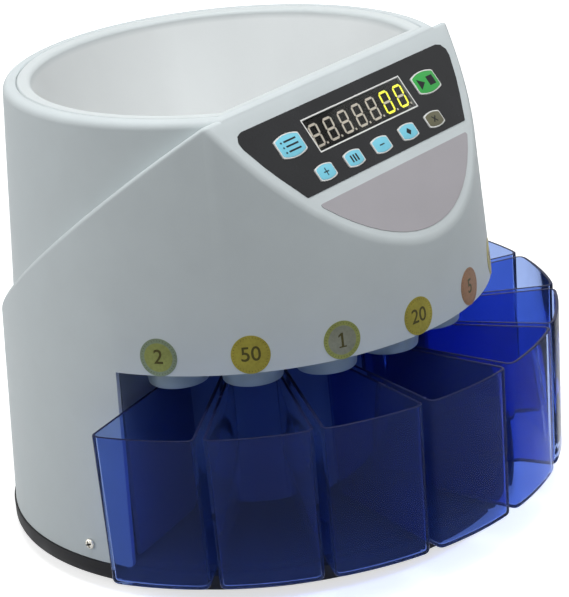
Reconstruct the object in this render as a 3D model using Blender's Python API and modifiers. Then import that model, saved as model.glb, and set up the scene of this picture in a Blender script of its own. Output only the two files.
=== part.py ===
"""Coin counter: a round machine that sorts mixed coins into eight cups.

Metres, +Z up. The machine's axis is vertical. The feet stand on z = 0, the
control panel and the cups face -Y, and the origin is the middle of the
footprint at floor level.
"""

import math

import bmesh
import bpy
from mathutils import Matrix, Vector

for old in list(bpy.data.objects):
    bpy.data.objects.remove(old, do_unlink=True)

# Overall shape
machine_height = 0.266
base_radius = 0.14943
wall = 0.003
clearance = 0.0003
overrun = 0.020

# Base pan and feet
foot_height = 0.007
foot_radius = 0.010
foot_sole_share = 0.9
foot_inset = 0.02743
foot_angles = (45, 135, 225, 315)
band_height = 0.0091
floor_rise = 0.0130
pan_skin = 0.003
pan_edge_wall = 0.005
spigot_chamfer = 0.001
rib_thickness = 0.003
rib_depth = 0.004
rib_start_angle = 22.5
rib_count = 6
hub_ring_radius = 0.060
boss_width = 0.012
boss_depth = 0.010
boss_height = 0.012

# Outer case: a slightly conical skirt under a two-sided roof
band_step = 0.0002
skirt_taper = 0.0525
ridge_inset = 0.07428
front_slope = 1.3356
shoulder_height = 0.10557
edge_round = 0.0028
ridge_land = 0.004
crown_depth = 0.004
crown_round = 0.0032
crown_setback = 0.00005
lip_drop = 0.1356
bay_half_angle = 81.85

# Drum and hopper
drum_step = 0.00635
drum_draw = 0.01186
drum_overlap = 0.00757
drum_front_limit = 0.015
rim_round = 0.0045
rim_width = 0.00748
rim_depth = 0.010
ledge_drop = 0.0045
ledge_width = 0.004
mouth_inset = 0.00835
bowl_lip_round = 0.003
bowl_wall = 0.0025
bowl_taper = 0.36

# Coin track: rotor over a plate with graded holes
plate_drop = 0.095
track_height = 0.015
plate_thickness = 0.002
plate_inset = 0.01148
coin_diameters = (0.02575, 0.02425, 0.02325, 0.02225, 0.02125, 0.01975, 0.01875, 0.01625)
coin_play = 0.0010
rotor_thickness = 0.0065
rotor_inset = 0.004
coin_ring_inset = 0.018
pocket_radius = 0.0145
pocket_count = 10
dome_radius = 0.060
dome_rise = 0.012
dome_top_radius = 0.016
cap_radius = 0.012
cap_height = 0.007
cap_top_share = 0.7
track_floor = 0.0025
track_wall = 0.003
track_lip_width = 0.0055
leg_radius = 0.005
leg_outreach = 0.0055
leg_angles = (100, 145, 215, 260)
cover_thickness = 0.002

# Deck and chutes
deck_thickness = 0.0025
deck_step_angle = 1
chute_outreach = 0.024
chute_wall = 0.0015
chute_top_radius = 0.0150
chute_collar_radius = 0.0190
chute_end_radius = 0.0166
chute_reach = 0.0117
chute_neck = 0.006

# Cups
cup_count = 8
cup_pitch = 20.31
cup_half_angle = 9.54
cup_base_half_angle = 9.37
cup_overhang = 0.03057
cup_front_draft = 0.0027
cup_gap = 0.0215
cup_hub_gap = 0.0065
cup_draft_inside = 0.0012
cup_wall = 0.0020
cup_corner = 0.0048
cup_base_corner = 0.0026
cup_inner_corner = 0.0040
cup_edge_round = 0.0020

# Hub, bay sides and drive
hub_radius = 0.0700
hub_wall_thickness = 0.0025
shaft_radius = 0.004
shaft_tail = 0.010
motor_plate_drop = 0.073
motor_plate_thickness = 0.003
bearing_radius = 0.009
bearing_length = 0.007
gear_rise = 0.010
gear_thickness = 0.006
gear_module = 0.001875
gear_teeth = 32
pinion_teeth = 8
gear_backlash = 0.0003
tooth_tip_share = 0.9
tooth_root_share = 1.15
tooth_root_width_share = 0.34
tooth_tip_width_share = 0.13
motor_angle = 40
motor_radius = 0.017
motor_floor_gap = 0.004
gearbox_radius = 0.019
gearbox_length = 0.016
motor_end_share = 0.85
motor_shaft_radius = 0.0025
pinion_shaft_drop = 0.004

# Control panel, measured in the plane of the panel
panel_margin = 0.0069
plate_margin = 0.0057
recess_depth = 0.0008
overlay_proud = 0.0003
overlay_top = 0.0106
overlay_bottom = 0.0582
overlay_corner = 0.0066
overlay_small_corner = 0.0010
plate_top = 0.0637
window_width = 0.0915
window_height = 0.0204
window_centre = 0.0287
window_corner = 0.0004
window_thickness = 0.0013
board_depth = 0.0125
board_thickness = 0.0016
board_width = 0.150
board_top = 0.020
board_bottom = 0.058
module_inset = 0.0010
key_width = 0.0149
key_height = 0.0099
key_row = 0.0496
key_pitch = 0.0257
big_key_width = 0.0213
big_key_height = 0.0143
big_key_row = 0.0285
window_key_gap = 0.0073
key_bulge_share = 0.135
key_corner = 0.0010
key_proud = 0.0009
key_depth = 0.0050
key_stem_radius = 0.0022
key_travel = 0.0008

# Back: inlet, switch and power board
back_flat_width = 0.088
back_flat_height = 0.046
back_flat_centre = 0.062
back_flat_depth = 0.0085
inlet_offset = 0.020
inlet_width = 0.0275
inlet_height = 0.0205
inlet_flange = 0.0035
inlet_flange_thickness = 0.002
inlet_depth = 0.022
inlet_cavity_wall = 0.002
inlet_cavity_depth = 0.016
inlet_corner = 0.003
blade_width = 0.0020
blade_height = 0.0045
blade_length = 0.011
blade_spacing = 0.0070
blade_rise = 0.0018
switch_offset = -0.021
switch_width = 0.0140
switch_height = 0.0205
switch_flange = 0.0020
switch_wall = 0.0012
switch_depth = 0.014
rocker_depth = 0.0080
rocker_dish = 0.0016
rocker_proud = 0.0020
rocker_tilt = 8
rocker_play = 0.0007
rocker_root_share = 0.55
power_board_width = 0.064
power_board_length = 0.034
power_board_inset = 0.05093
standoff_height = 0.006
standoff_radius = 0.0035
transformer_width = 0.040
transformer_length = 0.026
transformer_height = 0.034
transformer_yoke = 0.005
transformer_round = 0.003

# Screws in the foot of the case
screw_angle = 93.0
screw_height = 0.0253
screw_head_radius = 0.0030
screw_head_height = 0.0016
screw_shank_radius = 0.0015
screw_length = 0.009
screw_hole_radius = 0.0019
screw_crown_shares = (0.6, 0.12, 0.3)
cross_width_share = 0.27
cross_length_share = 1.2
cross_depth = 0.0009

# Facets round a full turn
LARGE_TURN = 60
INNER_TURN = 32
MEDIUM_TURN = 24
SMALL_TURN = 16
PIN_TURN = 12
CORNER_STEPS = 3

# Heights and radii that follow from the sizes above
cup_radius = base_radius + cup_overhang
cup_base_radius = cup_radius - cup_front_draft
cup_inner_radius = hub_radius + cup_hub_gap
axis_y = (cup_radius - base_radius) / 2
foot_ring_radius = base_radius - foot_inset
power_board_y = base_radius - power_board_inset
band_top = foot_height + band_height
floor_height = foot_height + floor_rise
skirt_ground_radius = base_radius - band_step
ridge_y = ridge_inset - base_radius
shoulder_radius = skirt_ground_radius - skirt_taper * shoulder_height
back_slope = (machine_height - shoulder_height) / (shoulder_radius - ridge_y)
drum_bottom = shoulder_height - drum_overlap
drum_foot_radius = shoulder_radius - drum_step
drum_top_radius = drum_foot_radius - drum_draw
drum_taper = drum_draw / (machine_height - drum_bottom)
seam_radius = drum_top_radius - rim_width
mouth_radius = seam_radius - mouth_inset
plate_radius = drum_top_radius - plate_inset
rotor_radius = plate_radius - rotor_inset
coin_ring_radius = rotor_radius - coin_ring_inset
leg_ring_radius = plate_radius + leg_outreach
lip_height = machine_height - lip_drop
plate_height = machine_height - plate_drop
bowl_bottom = plate_height + track_height
cup_top = lip_height - cup_gap
chute_bottom = lip_height - chute_reach
chute_ring_radius = coin_ring_radius + chute_outreach
motor_plate_height = plate_height - motor_plate_drop
gear_height = motor_plate_height + gear_rise
shaft_bottom = motor_plate_height - shaft_tail
big_key_offset = (window_width + big_key_width) / 2 + window_key_gap
front_scale = math.hypot(1, front_slope)
back_scale = math.hypot(1, back_slope)
panel_angle = math.atan(front_slope)
drum_front = ridge_y + ridge_land + clearance
deck_height = lip_height + clearance
hub_top = deck_height - clearance
plate_top_height = plate_height + plate_thickness
rotor_height = plate_top_height + clearance
rotor_top = rotor_height + rotor_thickness
cover_height = bowl_bottom - clearance - cover_thickness
track_low = plate_height - clearance - track_floor
cup_angles = [cup_pitch * (i - (cup_count - 1) / 2) for i in range(cup_count)]

parts = bpy.data.collections.new("coin_counter")
cutters = bpy.data.collections.new("cutters")
bpy.context.scene.collection.children.link(parts)
bpy.context.scene.collection.children.link(cutters)


def skirt_radius(z):
    """Outer radius of the case at height z."""
    return skirt_ground_radius - skirt_taper * z


def drum_radius(z):
    """Outer radius of the drum at height z."""
    return drum_top_radius + drum_taper * (machine_height - z)


def bowl_radius(z):
    """Inner radius of the hopper at height z."""
    return mouth_radius - bowl_taper * (machine_height - bowl_lip_round - z)


def reach_inside(radius, half_width):
    """How far out a block of this half width goes inside a faceted round wall."""
    inside = radius * math.cos(math.pi / LARGE_TURN) - clearance
    return math.sqrt(inside ** 2 - half_width ** 2)


def polar(radius, degrees):
    """Point in plan: 0 degrees faces the front, positive turns towards +X."""
    a = math.radians(degrees)
    return Vector((radius * math.sin(a), -radius * math.cos(a)))


def material(name, colour, roughness, metallic=0.0, alpha=1.0):
    mat = bpy.data.materials.new(name)
    mat.use_nodes = True
    shader = mat.node_tree.nodes["Principled BSDF"]
    shader.inputs["Base Color"].default_value = (*colour, 1.0)
    shader.inputs["Roughness"].default_value = roughness
    shader.inputs["Metallic"].default_value = metallic
    shader.inputs["Alpha"].default_value = alpha
    mat.diffuse_color = (*colour, alpha)
    return mat


def empty(name, location, parent=None, rotation=(0, 0, 0)):
    obj = bpy.data.objects.new(name, None)
    obj.location = location
    obj.rotation_euler = rotation
    obj.parent = parent
    bpy.context.scene.collection.objects.link(obj)
    return obj


axis = empty("machine_axis", (0, axis_y, 0))
panel = empty("panel_plane", (0, ridge_y, machine_height), axis, (panel_angle, 0, 0))


def add(name, mesh, mat=None, parent=axis, location=(0, 0, 0), rotation=(0, 0, 0)):
    """Link a mesh as a part, or as a cutter where it has no material."""
    obj = bpy.data.objects.new(name, mesh)
    obj.location = location
    obj.rotation_euler = rotation
    obj.parent = parent
    if mat:
        mesh.materials.append(mat)
        parts.objects.link(obj)
        mesh.shade_smooth()
        mesh.set_sharp_from_angle(angle=math.radians(30))
    else:
        cutters.objects.link(obj)
        obj.hide_render = True
        obj.display_type = "WIRE"
    return obj


def boolean(obj, cutter, operation="DIFFERENCE"):
    mod = obj.modifiers.new(cutter.name, "BOOLEAN")
    mod.object = cutter
    mod.operation = operation
    mod.solver = "EXACT"
    return obj


def bevel(obj, width, segments=2, angle=40):
    mod = obj.modifiers.new("edge_round", "BEVEL")
    mod.width = width
    mod.segments = segments
    mod.limit_method = "ANGLE"
    mod.angle_limit = math.radians(angle)
    return obj


def turned(name, profile, mat=None, closed=True, steps=LARGE_TURN, **place):
    """Turn a profile of (radius, height) points, listed down the outer side."""
    mesh = bpy.data.meshes.new(name)
    points = [(r, 0, z) for r, z in profile]
    links = [(i, i + 1) for i in range(len(points) - 1)]
    if closed:
        links.append((len(points) - 1, 0))
    mesh.from_pydata(points, links, [])
    obj = add(name, mesh, mat, **place)
    mod = obj.modifiers.new("turn", "SCREW")
    mod.axis = "Z"
    mod.angle = math.tau
    mod.steps = mod.render_steps = steps
    mod.use_merge_vertices = True
    mod.merge_threshold = clearance / 30
    return obj


def cylinder(name, radius, bottom, top, mat=None, steps=SMALL_TURN, top_radius=None, **place):
    mesh = bpy.data.meshes.new(name)
    bm = bmesh.new()
    wide = radius if top_radius is None else top_radius
    bmesh.ops.create_cone(bm, cap_ends=True, segments=steps, radius1=radius, radius2=wide,
                          depth=top - bottom)
    bmesh.ops.translate(bm, verts=bm.verts, vec=(0, 0, (top + bottom) / 2))
    bm.to_mesh(mesh)
    bm.free()
    return add(name, mesh, mat, **place)


def box(name, low, high, mat=None, **place):
    mesh = bpy.data.meshes.new(name)
    bm = bmesh.new()
    bmesh.ops.create_cube(bm, size=1.0)
    size = Vector(high) - Vector(low)
    bmesh.ops.scale(bm, verts=bm.verts, vec=size)
    bmesh.ops.translate(bm, verts=bm.verts, vec=(Vector(low) + Vector(high)) / 2)
    bm.to_mesh(mesh)
    bm.free()
    return add(name, mesh, mat, **place)


def flat(name, outlines, bottom, top, mat=None, **place):
    """Extrude closed outlines from bottom to top; inner outlines are holes."""
    curve = bpy.data.curves.new(name, "CURVE")
    curve.dimensions = "2D"
    curve.fill_mode = "BOTH"
    curve.extrude = (top - bottom) / 2
    for outline in outlines:
        spline = curve.splines.new("POLY")
        spline.points.add(len(outline) - 1)
        for point, (x, y) in zip(spline.points, outline):
            point.co = (x, y, 0, 1)
        spline.use_cyclic_u = True
    guide = bpy.data.objects.new(name + "_curve", curve)
    bpy.context.scene.collection.objects.link(guide)
    bpy.context.view_layer.update()
    graph = bpy.context.evaluated_depsgraph_get()
    mesh = bpy.data.meshes.new_from_object(guide.evaluated_get(graph))
    mesh.name = name
    mesh.transform(Matrix.Translation((0, 0, (top + bottom) / 2)))
    bpy.data.objects.remove(guide, do_unlink=True)
    bm = bmesh.new()
    bm.from_mesh(mesh)
    bmesh.ops.remove_doubles(bm, verts=bm.verts, dist=clearance / 100)
    bmesh.ops.recalc_face_normals(bm, faces=bm.faces)
    bm.to_mesh(mesh)
    bm.free()
    return add(name, mesh, mat, **place)


def loft(name, rings, mat=None, caps=(True, True), **place):
    """Join rings of equally many points, listed from bottom to top."""
    mesh = bpy.data.meshes.new(name)
    bm = bmesh.new()
    rows = [[bm.verts.new(point) for point in ring] for ring in rings]
    for lower, upper in zip(rows, rows[1:]):
        for i, start in enumerate(lower):
            j = (i + 1) % len(lower)
            bm.faces.new((start, lower[j], upper[j], upper[i]))
    if caps[0]:
        bm.faces.new(reversed(rows[0]))
    if caps[1]:
        bm.faces.new(rows[-1])
    bm.to_mesh(mesh)
    bm.free()
    return add(name, mesh, mat, **place)


def rounded(corners, steps=CORNER_STEPS):
    """Outline of (x, y, radius) corners with an arc at each corner."""
    points = []
    count = len(corners)
    for i, (x, y, radius) in enumerate(corners):
        here = Vector((x, y))
        before = (Vector(corners[i - 1][:2]) - here).normalized()
        after = (Vector(corners[(i + 1) % count][:2]) - here).normalized()
        if radius <= 0:
            points.append(here)
            continue
        half = before.angle(after) / 2
        centre = here + (before + after).normalized() * (radius / math.sin(half))
        start = here + before * (radius / math.tan(half)) - centre
        finish = here + after * (radius / math.tan(half)) - centre
        sweep = start.angle_signed(finish)
        for k in range(steps + 1):
            points.append(centre + Matrix.Rotation(-sweep * k / steps, 2) @ start)
    return points


def arc(radius, start, finish, steps):
    """Points on a circle round the axis between two angles in degrees."""
    return [polar(radius, start + (finish - start) * k / steps) for k in range(steps + 1)]


def circle(radius, steps, centre=(0, 0)):
    return [Vector(centre) + polar(radius, 360 * k / steps) for k in range(steps)]


body_grey = material("body_grey", (0.43, 0.48, 0.50), 0.55)
bowl_grey = material("bowl_grey", (0.55, 0.60, 0.61), 0.30)
chute_grey = material("chute_grey", (0.46, 0.50, 0.52), 0.45)
black_plastic = material("black_plastic", (0.020, 0.020, 0.022), 0.50)
rubber = material("rubber", (0.030, 0.030, 0.030), 0.85)
cup_blue = material("cup_blue", (0.012, 0.035, 0.33), 0.08, alpha=0.45)
steel = material("steel", (0.60, 0.60, 0.58), 0.30, 1.0)
aluminium = material("aluminium", (0.70, 0.71, 0.72), 0.35, 1.0)
brass = material("brass", (0.72, 0.52, 0.22), 0.30, 1.0)
gear_nylon = material("gear_nylon", (0.75, 0.73, 0.66), 0.50)
board_green = material("board_green", (0.02, 0.16, 0.07), 0.45)
overlay_black = material("overlay_black", (0.016, 0.017, 0.019), 0.25)
plate_grey = material("plate_grey", (0.36, 0.35, 0.37), 0.35)
window_smoke = material("window_smoke", (0.02, 0.02, 0.02), 0.08, alpha=0.35)
module_black = material("module_black", (0.015, 0.015, 0.014), 0.60)
key_cyan = material("key_cyan", (0.17, 0.58, 0.78), 0.40)
key_green = material("key_green", (0.012, 0.42, 0.060), 0.40)
key_olive = material("key_olive", (0.10, 0.095, 0.045), 0.40)
copper = material("copper", (0.45, 0.17, 0.08), 0.40, 1.0)


def build_base():
    """Black pan with an edge band, ribs below, a raised floor and screw bosses."""
    spigot = skirt_radius(floor_height) - wall - clearance
    profile = [
        (0, floor_height),
        (spigot - spigot_chamfer, floor_height),
        (spigot, floor_height - spigot_chamfer),
        (spigot, band_top),
        (base_radius, band_top),
        (base_radius, foot_height),
        (base_radius - pan_edge_wall, foot_height),
        (base_radius - pan_edge_wall, floor_height - pan_skin),
        (0, floor_height - pan_skin),
    ]
    pan = turned("base_pan", profile, black_plastic, closed=False)
    high = floor_height - pan_skin / 2
    low = floor_height - pan_skin - rib_depth
    ring_outline = [circle(hub_ring_radius, MEDIUM_TURN),
                    circle(hub_ring_radius - rib_thickness, MEDIUM_TURN)]
    boolean(pan, flat("rib_ring", ring_outline, low, high), "UNION")
    reach = (spigot + base_radius - pan_edge_wall) / 2
    inner = hub_ring_radius - rib_thickness / 2
    for k in range(rib_count):
        rib = box(f"rib_{k}", (inner, -rib_thickness / 2, low), (reach, rib_thickness / 2, high),
                  rotation=(0, 0, math.tau * k / rib_count + math.radians(rib_start_angle)))
        boolean(pan, rib, "UNION")
    for side in (-1, 1):
        outer = reach_inside(skirt_radius(floor_height + boss_height) - wall, boss_width / 2)
        boss = box(f"boss_{side}", (-boss_width / 2, -outer, floor_height - pan_skin / 2),
                   (boss_width / 2, boss_depth - outer, floor_height + boss_height),
                   rotation=(0, 0, math.radians(side * screw_angle)))
        boolean(pan, boss, "UNION")
        hole = cylinder(f"boss_hole_{side}", screw_hole_radius, outer - boss_depth - overrun,
                        outer + overrun, rotation=(math.pi / 2, 0, math.radians(side * screw_angle)),
                        location=(0, 0, screw_height))
        boolean(pan, hole)
    for x in (-1, 1):
        for y in (-1, 1):
            post = cylinder(f"standoff_{x}_{y}", standoff_radius, floor_height - pan_skin / 2,
                            floor_height + standoff_height,
                            location=(x * (power_board_width / 2 - 2 * standoff_radius),
                                      power_board_y + y * (power_board_length / 2
                                                           - 2 * standoff_radius), 0),
                            steps=PIN_TURN)
            boolean(pan, post, "UNION")


def build_feet():
    for name, degrees in zip(("front_right", "back_right", "back_left", "front_left"), foot_angles):
        x, y = polar(foot_ring_radius, degrees)
        cylinder(f"foot_{name}", foot_radius * foot_sole_share, 0, floor_height - pan_skin - clearance,
                 rubber, top_radius=foot_radius, location=(x, y, 0))


def roof_outline(offset):
    """Side view of the roof: panel slope, ridge and back slope, offset inwards."""
    front_drop = offset * front_scale
    back_drop = offset * back_scale
    shift = (front_drop - back_drop) / (front_slope + back_slope)
    ridge = Vector((ridge_y + shift, machine_height - back_drop - back_slope * shift))
    back = base_radius + overrun
    front = -back
    return [
        ridge,
        (back, ridge.y - back_slope * (back - ridge.x)),
        (back, -overrun),
        (front, -overrun),
        (front, ridge.y - front_slope * (ridge.x - front)),
    ]


def roof_prism(name, offset):
    reach = base_radius + overrun
    return flat(name, [roof_outline(offset)], -reach, reach,
                rotation=(math.pi / 2, 0, math.pi / 2))


def key_outline(width, height, grow=0.0):
    """Barrel-shaped key: straight ends, bulging top and bottom, small corners."""
    w, h = width / 2 + grow, height / 2 + grow
    bulge = height * key_bulge_share
    upper = [(-w, h - bulge, key_corner), (-w / 2, h - bulge / 4, 0), (0, h, 0),
             (w / 2, h - bulge / 4, 0), (w, h - bulge, key_corner)]
    lower = [(-x, -y, radius) for x, y, radius in upper]
    return rounded(upper + lower, 2)


def panel_edge(margin):
    """Edge of the panel face in its own plane, moved inwards by a margin."""
    raw = []
    steps = MEDIUM_TURN * 2
    reach = skirt_ground_radius - skirt_taper * machine_height + ridge_y
    deepest = reach * front_scale / (1 - skirt_taper * front_slope)
    for k in range(steps + 1):
        v = deepest * math.sin(math.pi / 2 * k / steps)
        y = ridge_y - v / front_scale
        z = machine_height - v * front_slope / front_scale
        raw.append(Vector((math.sqrt(max(skirt_radius(z) ** 2 - y * y, 0)), -v)))
    moved = []
    for before, after in zip(raw, raw[1:]):
        along = (after - before).normalized()
        moved.append((before + after) / 2 + Vector((along.y, -along.x)) * margin)
    return [p for p in moved if p.x > 0]


def band_outline(top, bottom, margin, shrink=0.0):
    """Part of the panel face between two rows, given down from the ridge."""
    edge = panel_edge(margin + shrink)
    high, low = -(top + shrink), -(bottom - shrink) if bottom else None
    inside = [p for p in edge if p.y < high and (low is None or p.y > low)]
    first = next(p for p in edge if p.y < high)
    right = [Vector((first.x, high))] + inside
    if low is not None:
        right.append(Vector((inside[-1].x, low)))
    thinned = right[:1] + right[1:-1:3] + right[-1:]
    return thinned


def overlay_outline(shrink=0.0):
    """Black overlay: straight top and bottom, sides that follow the case."""
    right = band_outline(overlay_top, overlay_bottom, panel_margin, shrink)
    high, low = right[0].y, right[-1].y
    slope = (right[1].x - right[2].x) / (right[1].y - right[2].y)
    corner_x = right[1].x + slope * (high - right[1].y)
    corners = [(corner_x, high, overlay_corner - shrink)]
    tail = [p for p in right[2:-1] if p.y < high - 2 * overlay_corner]
    corners += [(p.x, p.y, 0) for p in tail]
    corners.append((right[-1].x, low, overlay_small_corner))
    mirrored = [(-x, y, r) for x, y, r in reversed(corners)]
    return rounded(corners + mirrored)


def lower_outline(shrink=0.0):
    """Bare lower plate: straight top, curved bottom that follows the case."""
    right = band_outline(plate_top, None, plate_margin, shrink)
    start = right[0].y - overlay_small_corner
    corners = [(right[0].x, right[0].y, overlay_small_corner)]
    corners += [(p.x, p.y, 0) for p in right[1:] if p.y < start]
    mirrored = [(-x, y, r) for x, y, r in reversed(corners)]
    return rounded(corners + mirrored)


KEYS = (
    ("left", -big_key_offset, big_key_row, big_key_width, big_key_height, key_cyan),
    ("start", big_key_offset, big_key_row, big_key_width, big_key_height, key_green),
    ("row_1", -2 * key_pitch, key_row, key_width, key_height, key_cyan),
    ("row_2", -key_pitch, key_row, key_width, key_height, key_cyan),
    ("row_3", 0.0, key_row, key_width, key_height, key_cyan),
    ("row_4", key_pitch, key_row, key_width, key_height, key_cyan),
    ("row_5", 2 * key_pitch, key_row, key_width, key_height, key_olive),
)


def window_outline(shrink=0.0):
    w, h = window_width / 2 - shrink, window_height / 2 - shrink
    y = -window_centre
    return rounded([(-w, y - h, window_corner), (w, y - h, window_corner),
                    (w, y + h, window_corner), (-w, y + h, window_corner)], steps=1)


def back_flat(grow):
    """Block that flattens the back of the case for the inlet and the switch."""
    face = skirt_radius(back_flat_centre) - back_flat_depth - grow
    return box(f"back_flat_{'inner' if grow else 'outer'}",
               (-back_flat_width / 2 - grow, face, back_flat_centre - back_flat_height / 2 - grow),
               (back_flat_width / 2 + grow, base_radius + overrun,
                back_flat_centre + back_flat_height / 2 + grow))


def frustum(name, offset, bottom, top):
    return turned(name, [(0, top), (skirt_radius(top) - offset, top),
                         (skirt_radius(bottom) - offset, bottom), (0, bottom)], closed=False)


def ridge_crown():
    """Brings the ridge level with the rim inside the drum's circle."""
    foot = machine_height - crown_depth
    front = ridge_y + crown_setback
    back = ridge_y + ridge_land + overrun / 4
    side_view = rounded([(back, machine_height, 0), (back, foot, 0),
                         (front - crown_depth / front_slope, foot, 0),
                         (front, machine_height, crown_round)])
    reach = base_radius + overrun
    crown = flat("ridge_crown", [side_view], -reach, reach, rotation=(math.pi / 2, 0, math.pi / 2))
    low = foot - overrun / 4
    disc = [(0, machine_height)] + rim_arc() + [(drum_radius(low), low), (0, low)]
    return boolean(crown, turned("crown_disc", disc, closed=False), "INTERSECT")


def build_case():
    """Skirt, two-sided roof and sloping panel in one shell, open below."""
    low = -overrun / 2
    case = turned("outer_case", [(0, machine_height + overrun / 2),
                                 (skirt_radius(machine_height + overrun / 2),
                                  machine_height + overrun / 2),
                                 (skirt_radius(low), low), (0, low)], body_grey, closed=False)
    boolean(case, roof_prism("roof_outside", 0), "INTERSECT")
    bevel(case, edge_round, 3, 25)
    boolean(case, ridge_crown(), "UNION")
    skirt_bottom = band_top + clearance
    reach = base_radius + overrun
    boolean(case, box("case_foot", (-reach, -reach, -overrun), (reach, reach, skirt_bottom)))
    boolean(case, back_flat(0))
    hollow = frustum("case_hollow", wall, low, machine_height)
    boolean(hollow, roof_prism("roof_inside", wall), "INTERSECT")
    boolean(hollow, back_flat(wall))
    boolean(case, hollow)
    bay = [Vector((0, 0))] + [polar(2 * base_radius, a)
                              for a in (-bay_half_angle, -bay_half_angle / 2, 0,
                                        bay_half_angle / 2, bay_half_angle)]
    boolean(case, flat("cup_bay", [bay], -overrun / 2, lip_height))
    opening = turned("drum_opening", [(0, machine_height + overrun),
                                      (drum_radius(machine_height + overrun) + clearance,
                                       machine_height + overrun),
                                      (drum_radius(drum_bottom - overrun) + clearance,
                                       drum_bottom - overrun), (0, drum_bottom - overrun)],
                     closed=False)
    front_block = box("drum_opening_front", (-reach, -reach, 0),
                      (reach, ridge_y + ridge_land, machine_height + overrun + wall))
    boolean(opening, front_block)
    boolean(case, opening)
    for label, outline in (("overlay", overlay_outline()), ("plate", lower_outline())):
        boolean(case, flat(f"{label}_recess", [outline], -recess_depth, overrun, parent=panel))
    boolean(case, flat("window_hole", [window_outline()], -overrun / 2, overrun, parent=panel))
    for name, x, row, width, height, _ in KEYS:
        w, h = width / 2 + clearance, height / 2 + clearance
        boolean(case, box(f"key_hole_{name}", (x - w, -row - h, -overrun / 2),
                          (x + w, h - row, overrun), parent=panel))
    for side in (-1, 1):
        hole = cylinder(f"case_hole_{side}", screw_hole_radius, skirt_radius(screw_height) - overrun,
                        skirt_radius(screw_height) + overrun, location=(0, 0, screw_height),
                        rotation=(math.pi / 2, 0, math.radians(side * screw_angle)))
        boolean(case, hole)
    face = skirt_radius(back_flat_centre) - back_flat_depth
    for label, x, width, height in (("inlet", inlet_offset, inlet_width, inlet_height),
                                    ("switch", switch_offset, switch_width, switch_height)):
        boolean(case, box(f"{label}_hole",
                          (x - width / 2 - clearance, face - overrun,
                           back_flat_centre - height / 2 - clearance),
                          (x + width / 2 + clearance, face + overrun / 2,
                           back_flat_centre + height / 2 + clearance)))


def arc_profile(centre, radius, start, finish, steps=CORNER_STEPS):
    """Points of an arc in the (radius, height) plane, angles in degrees."""
    return [(centre[0] + radius * math.cos(math.radians(start + (finish - start) * k / steps)),
             centre[1] + radius * math.sin(math.radians(start + (finish - start) * k / steps)))
            for k in range(steps + 1)]


def rim_arc():
    """Rounding of the rim, from its flat top to the side of the drum."""
    high = machine_height - rim_round
    return arc_profile((drum_radius(high) - rim_round, high), rim_round, 90, 0, 5)


def build_drum():
    """Upright drum with a broad rounded rim and a ledge for the hopper."""
    top = machine_height
    ledge = top - ledge_drop
    below = top - rim_depth
    profile = [(seam_radius, top)] + rim_arc() + [
        (drum_radius(drum_bottom), drum_bottom),
        (drum_radius(drum_bottom) - wall, drum_bottom),
        (drum_radius(below) - wall, below),
        (seam_radius - ledge_width, below),
        (seam_radius - ledge_width, ledge),
        (seam_radius, ledge),
    ]
    drum = turned("drum_case", profile, body_grey)
    reach = base_radius + overrun
    boolean(drum, box("drum_front_cut", (-reach, -reach, 0), (reach, drum_front, top + overrun)))
    boolean(drum, box("drum_foot_cut", (-reach, -reach, 0), (reach, drum_front_limit, track_low)))


def build_hopper():
    """Conical hopper insert with a flat front wall and a rolled lip."""
    top = machine_height
    flange_outer = seam_radius - clearance
    flange_low = top - ledge_drop + clearance
    outer = [
        (0, top),
        (flange_outer - spigot_chamfer / 2, top),
        (flange_outer, top - spigot_chamfer / 2),
        (flange_outer, flange_low),
        (bowl_radius(flange_low) + bowl_wall, flange_low),
        (bowl_radius(bowl_bottom) + bowl_wall, bowl_bottom),
        (0, bowl_bottom),
    ]
    bowl = turned("hopper_bowl", outer, bowl_grey, closed=False)
    reach = base_radius
    boolean(bowl, box("bowl_front_cut", (-reach, -reach, 0), (reach, drum_front, top + overrun)))
    lip = [(0, top + overrun), (mouth_radius + bowl_lip_round, top + overrun)]
    lip += arc_profile((mouth_radius + bowl_lip_round, top - bowl_lip_round), bowl_lip_round,
                       90, 180)
    inner = lip + [(bowl_radius(bowl_bottom - overrun), bowl_bottom - overrun),
                   (0, bowl_bottom - overrun)]
    hollow = turned("bowl_hollow", inner, closed=False)
    boolean(hollow, box("bowl_front_wall", (-reach, -reach, 0),
                        (reach, drum_front + bowl_wall, top + overrun + wall)))
    boolean(bowl, hollow)


def build_deck():
    """Level deck over the cups, with a hole for each chute."""
    bottom, top = deck_height, deck_height + deck_thickness
    front = skirt_radius(top) - wall - clearance
    back = drum_radius(top) - wall - clearance
    turn = 90 + math.degrees(math.asin(drum_front_limit / front)) - deck_step_angle
    start = turn + deck_step_angle
    steps = INNER_TURN // 2
    outline = arc(front, -turn, turn, steps) + arc(back, start, 360 - start, steps)
    holes = [circle(chute_collar_radius + clearance, SMALL_TURN,
                    polar(chute_ring_radius, a)) for a in cup_angles]
    inner = circle(hub_radius - hub_wall_thickness, MEDIUM_TURN)
    flat("chute_deck", [outline, inner] + holes, bottom, top, chute_grey)


def ring3(radius, centre, z, steps=SMALL_TURN):
    return [(p.x, p.y, z) for p in circle(radius, steps, centre)]


def build_chutes():
    """Slanting chutes from the graded holes down to collars over the cups."""
    top = plate_height - clearance
    deck_top = deck_height + deck_thickness
    for i, degrees in enumerate(cup_angles):
        high, low = polar(coin_ring_radius, degrees), polar(chute_ring_radius, degrees)
        rings = [
            (chute_end_radius, low, chute_bottom),
            (chute_collar_radius - clearance, low, deck_top + clearance),
            (chute_top_radius, high, top - chute_neck),
            (chute_top_radius, high, top),
        ]
        chute = loft(f"chute_{i + 1}", [ring3(r, c, z) for r, c, z in rings], chute_grey)
        inside = [[r - chute_wall, c, z] for r, c, z in rings]
        inside[0][2] -= overrun / 4
        inside[-1][2] += overrun / 4
        boolean(chute, loft(f"chute_bore_{i + 1}", [ring3(*row) for row in inside]))


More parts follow.
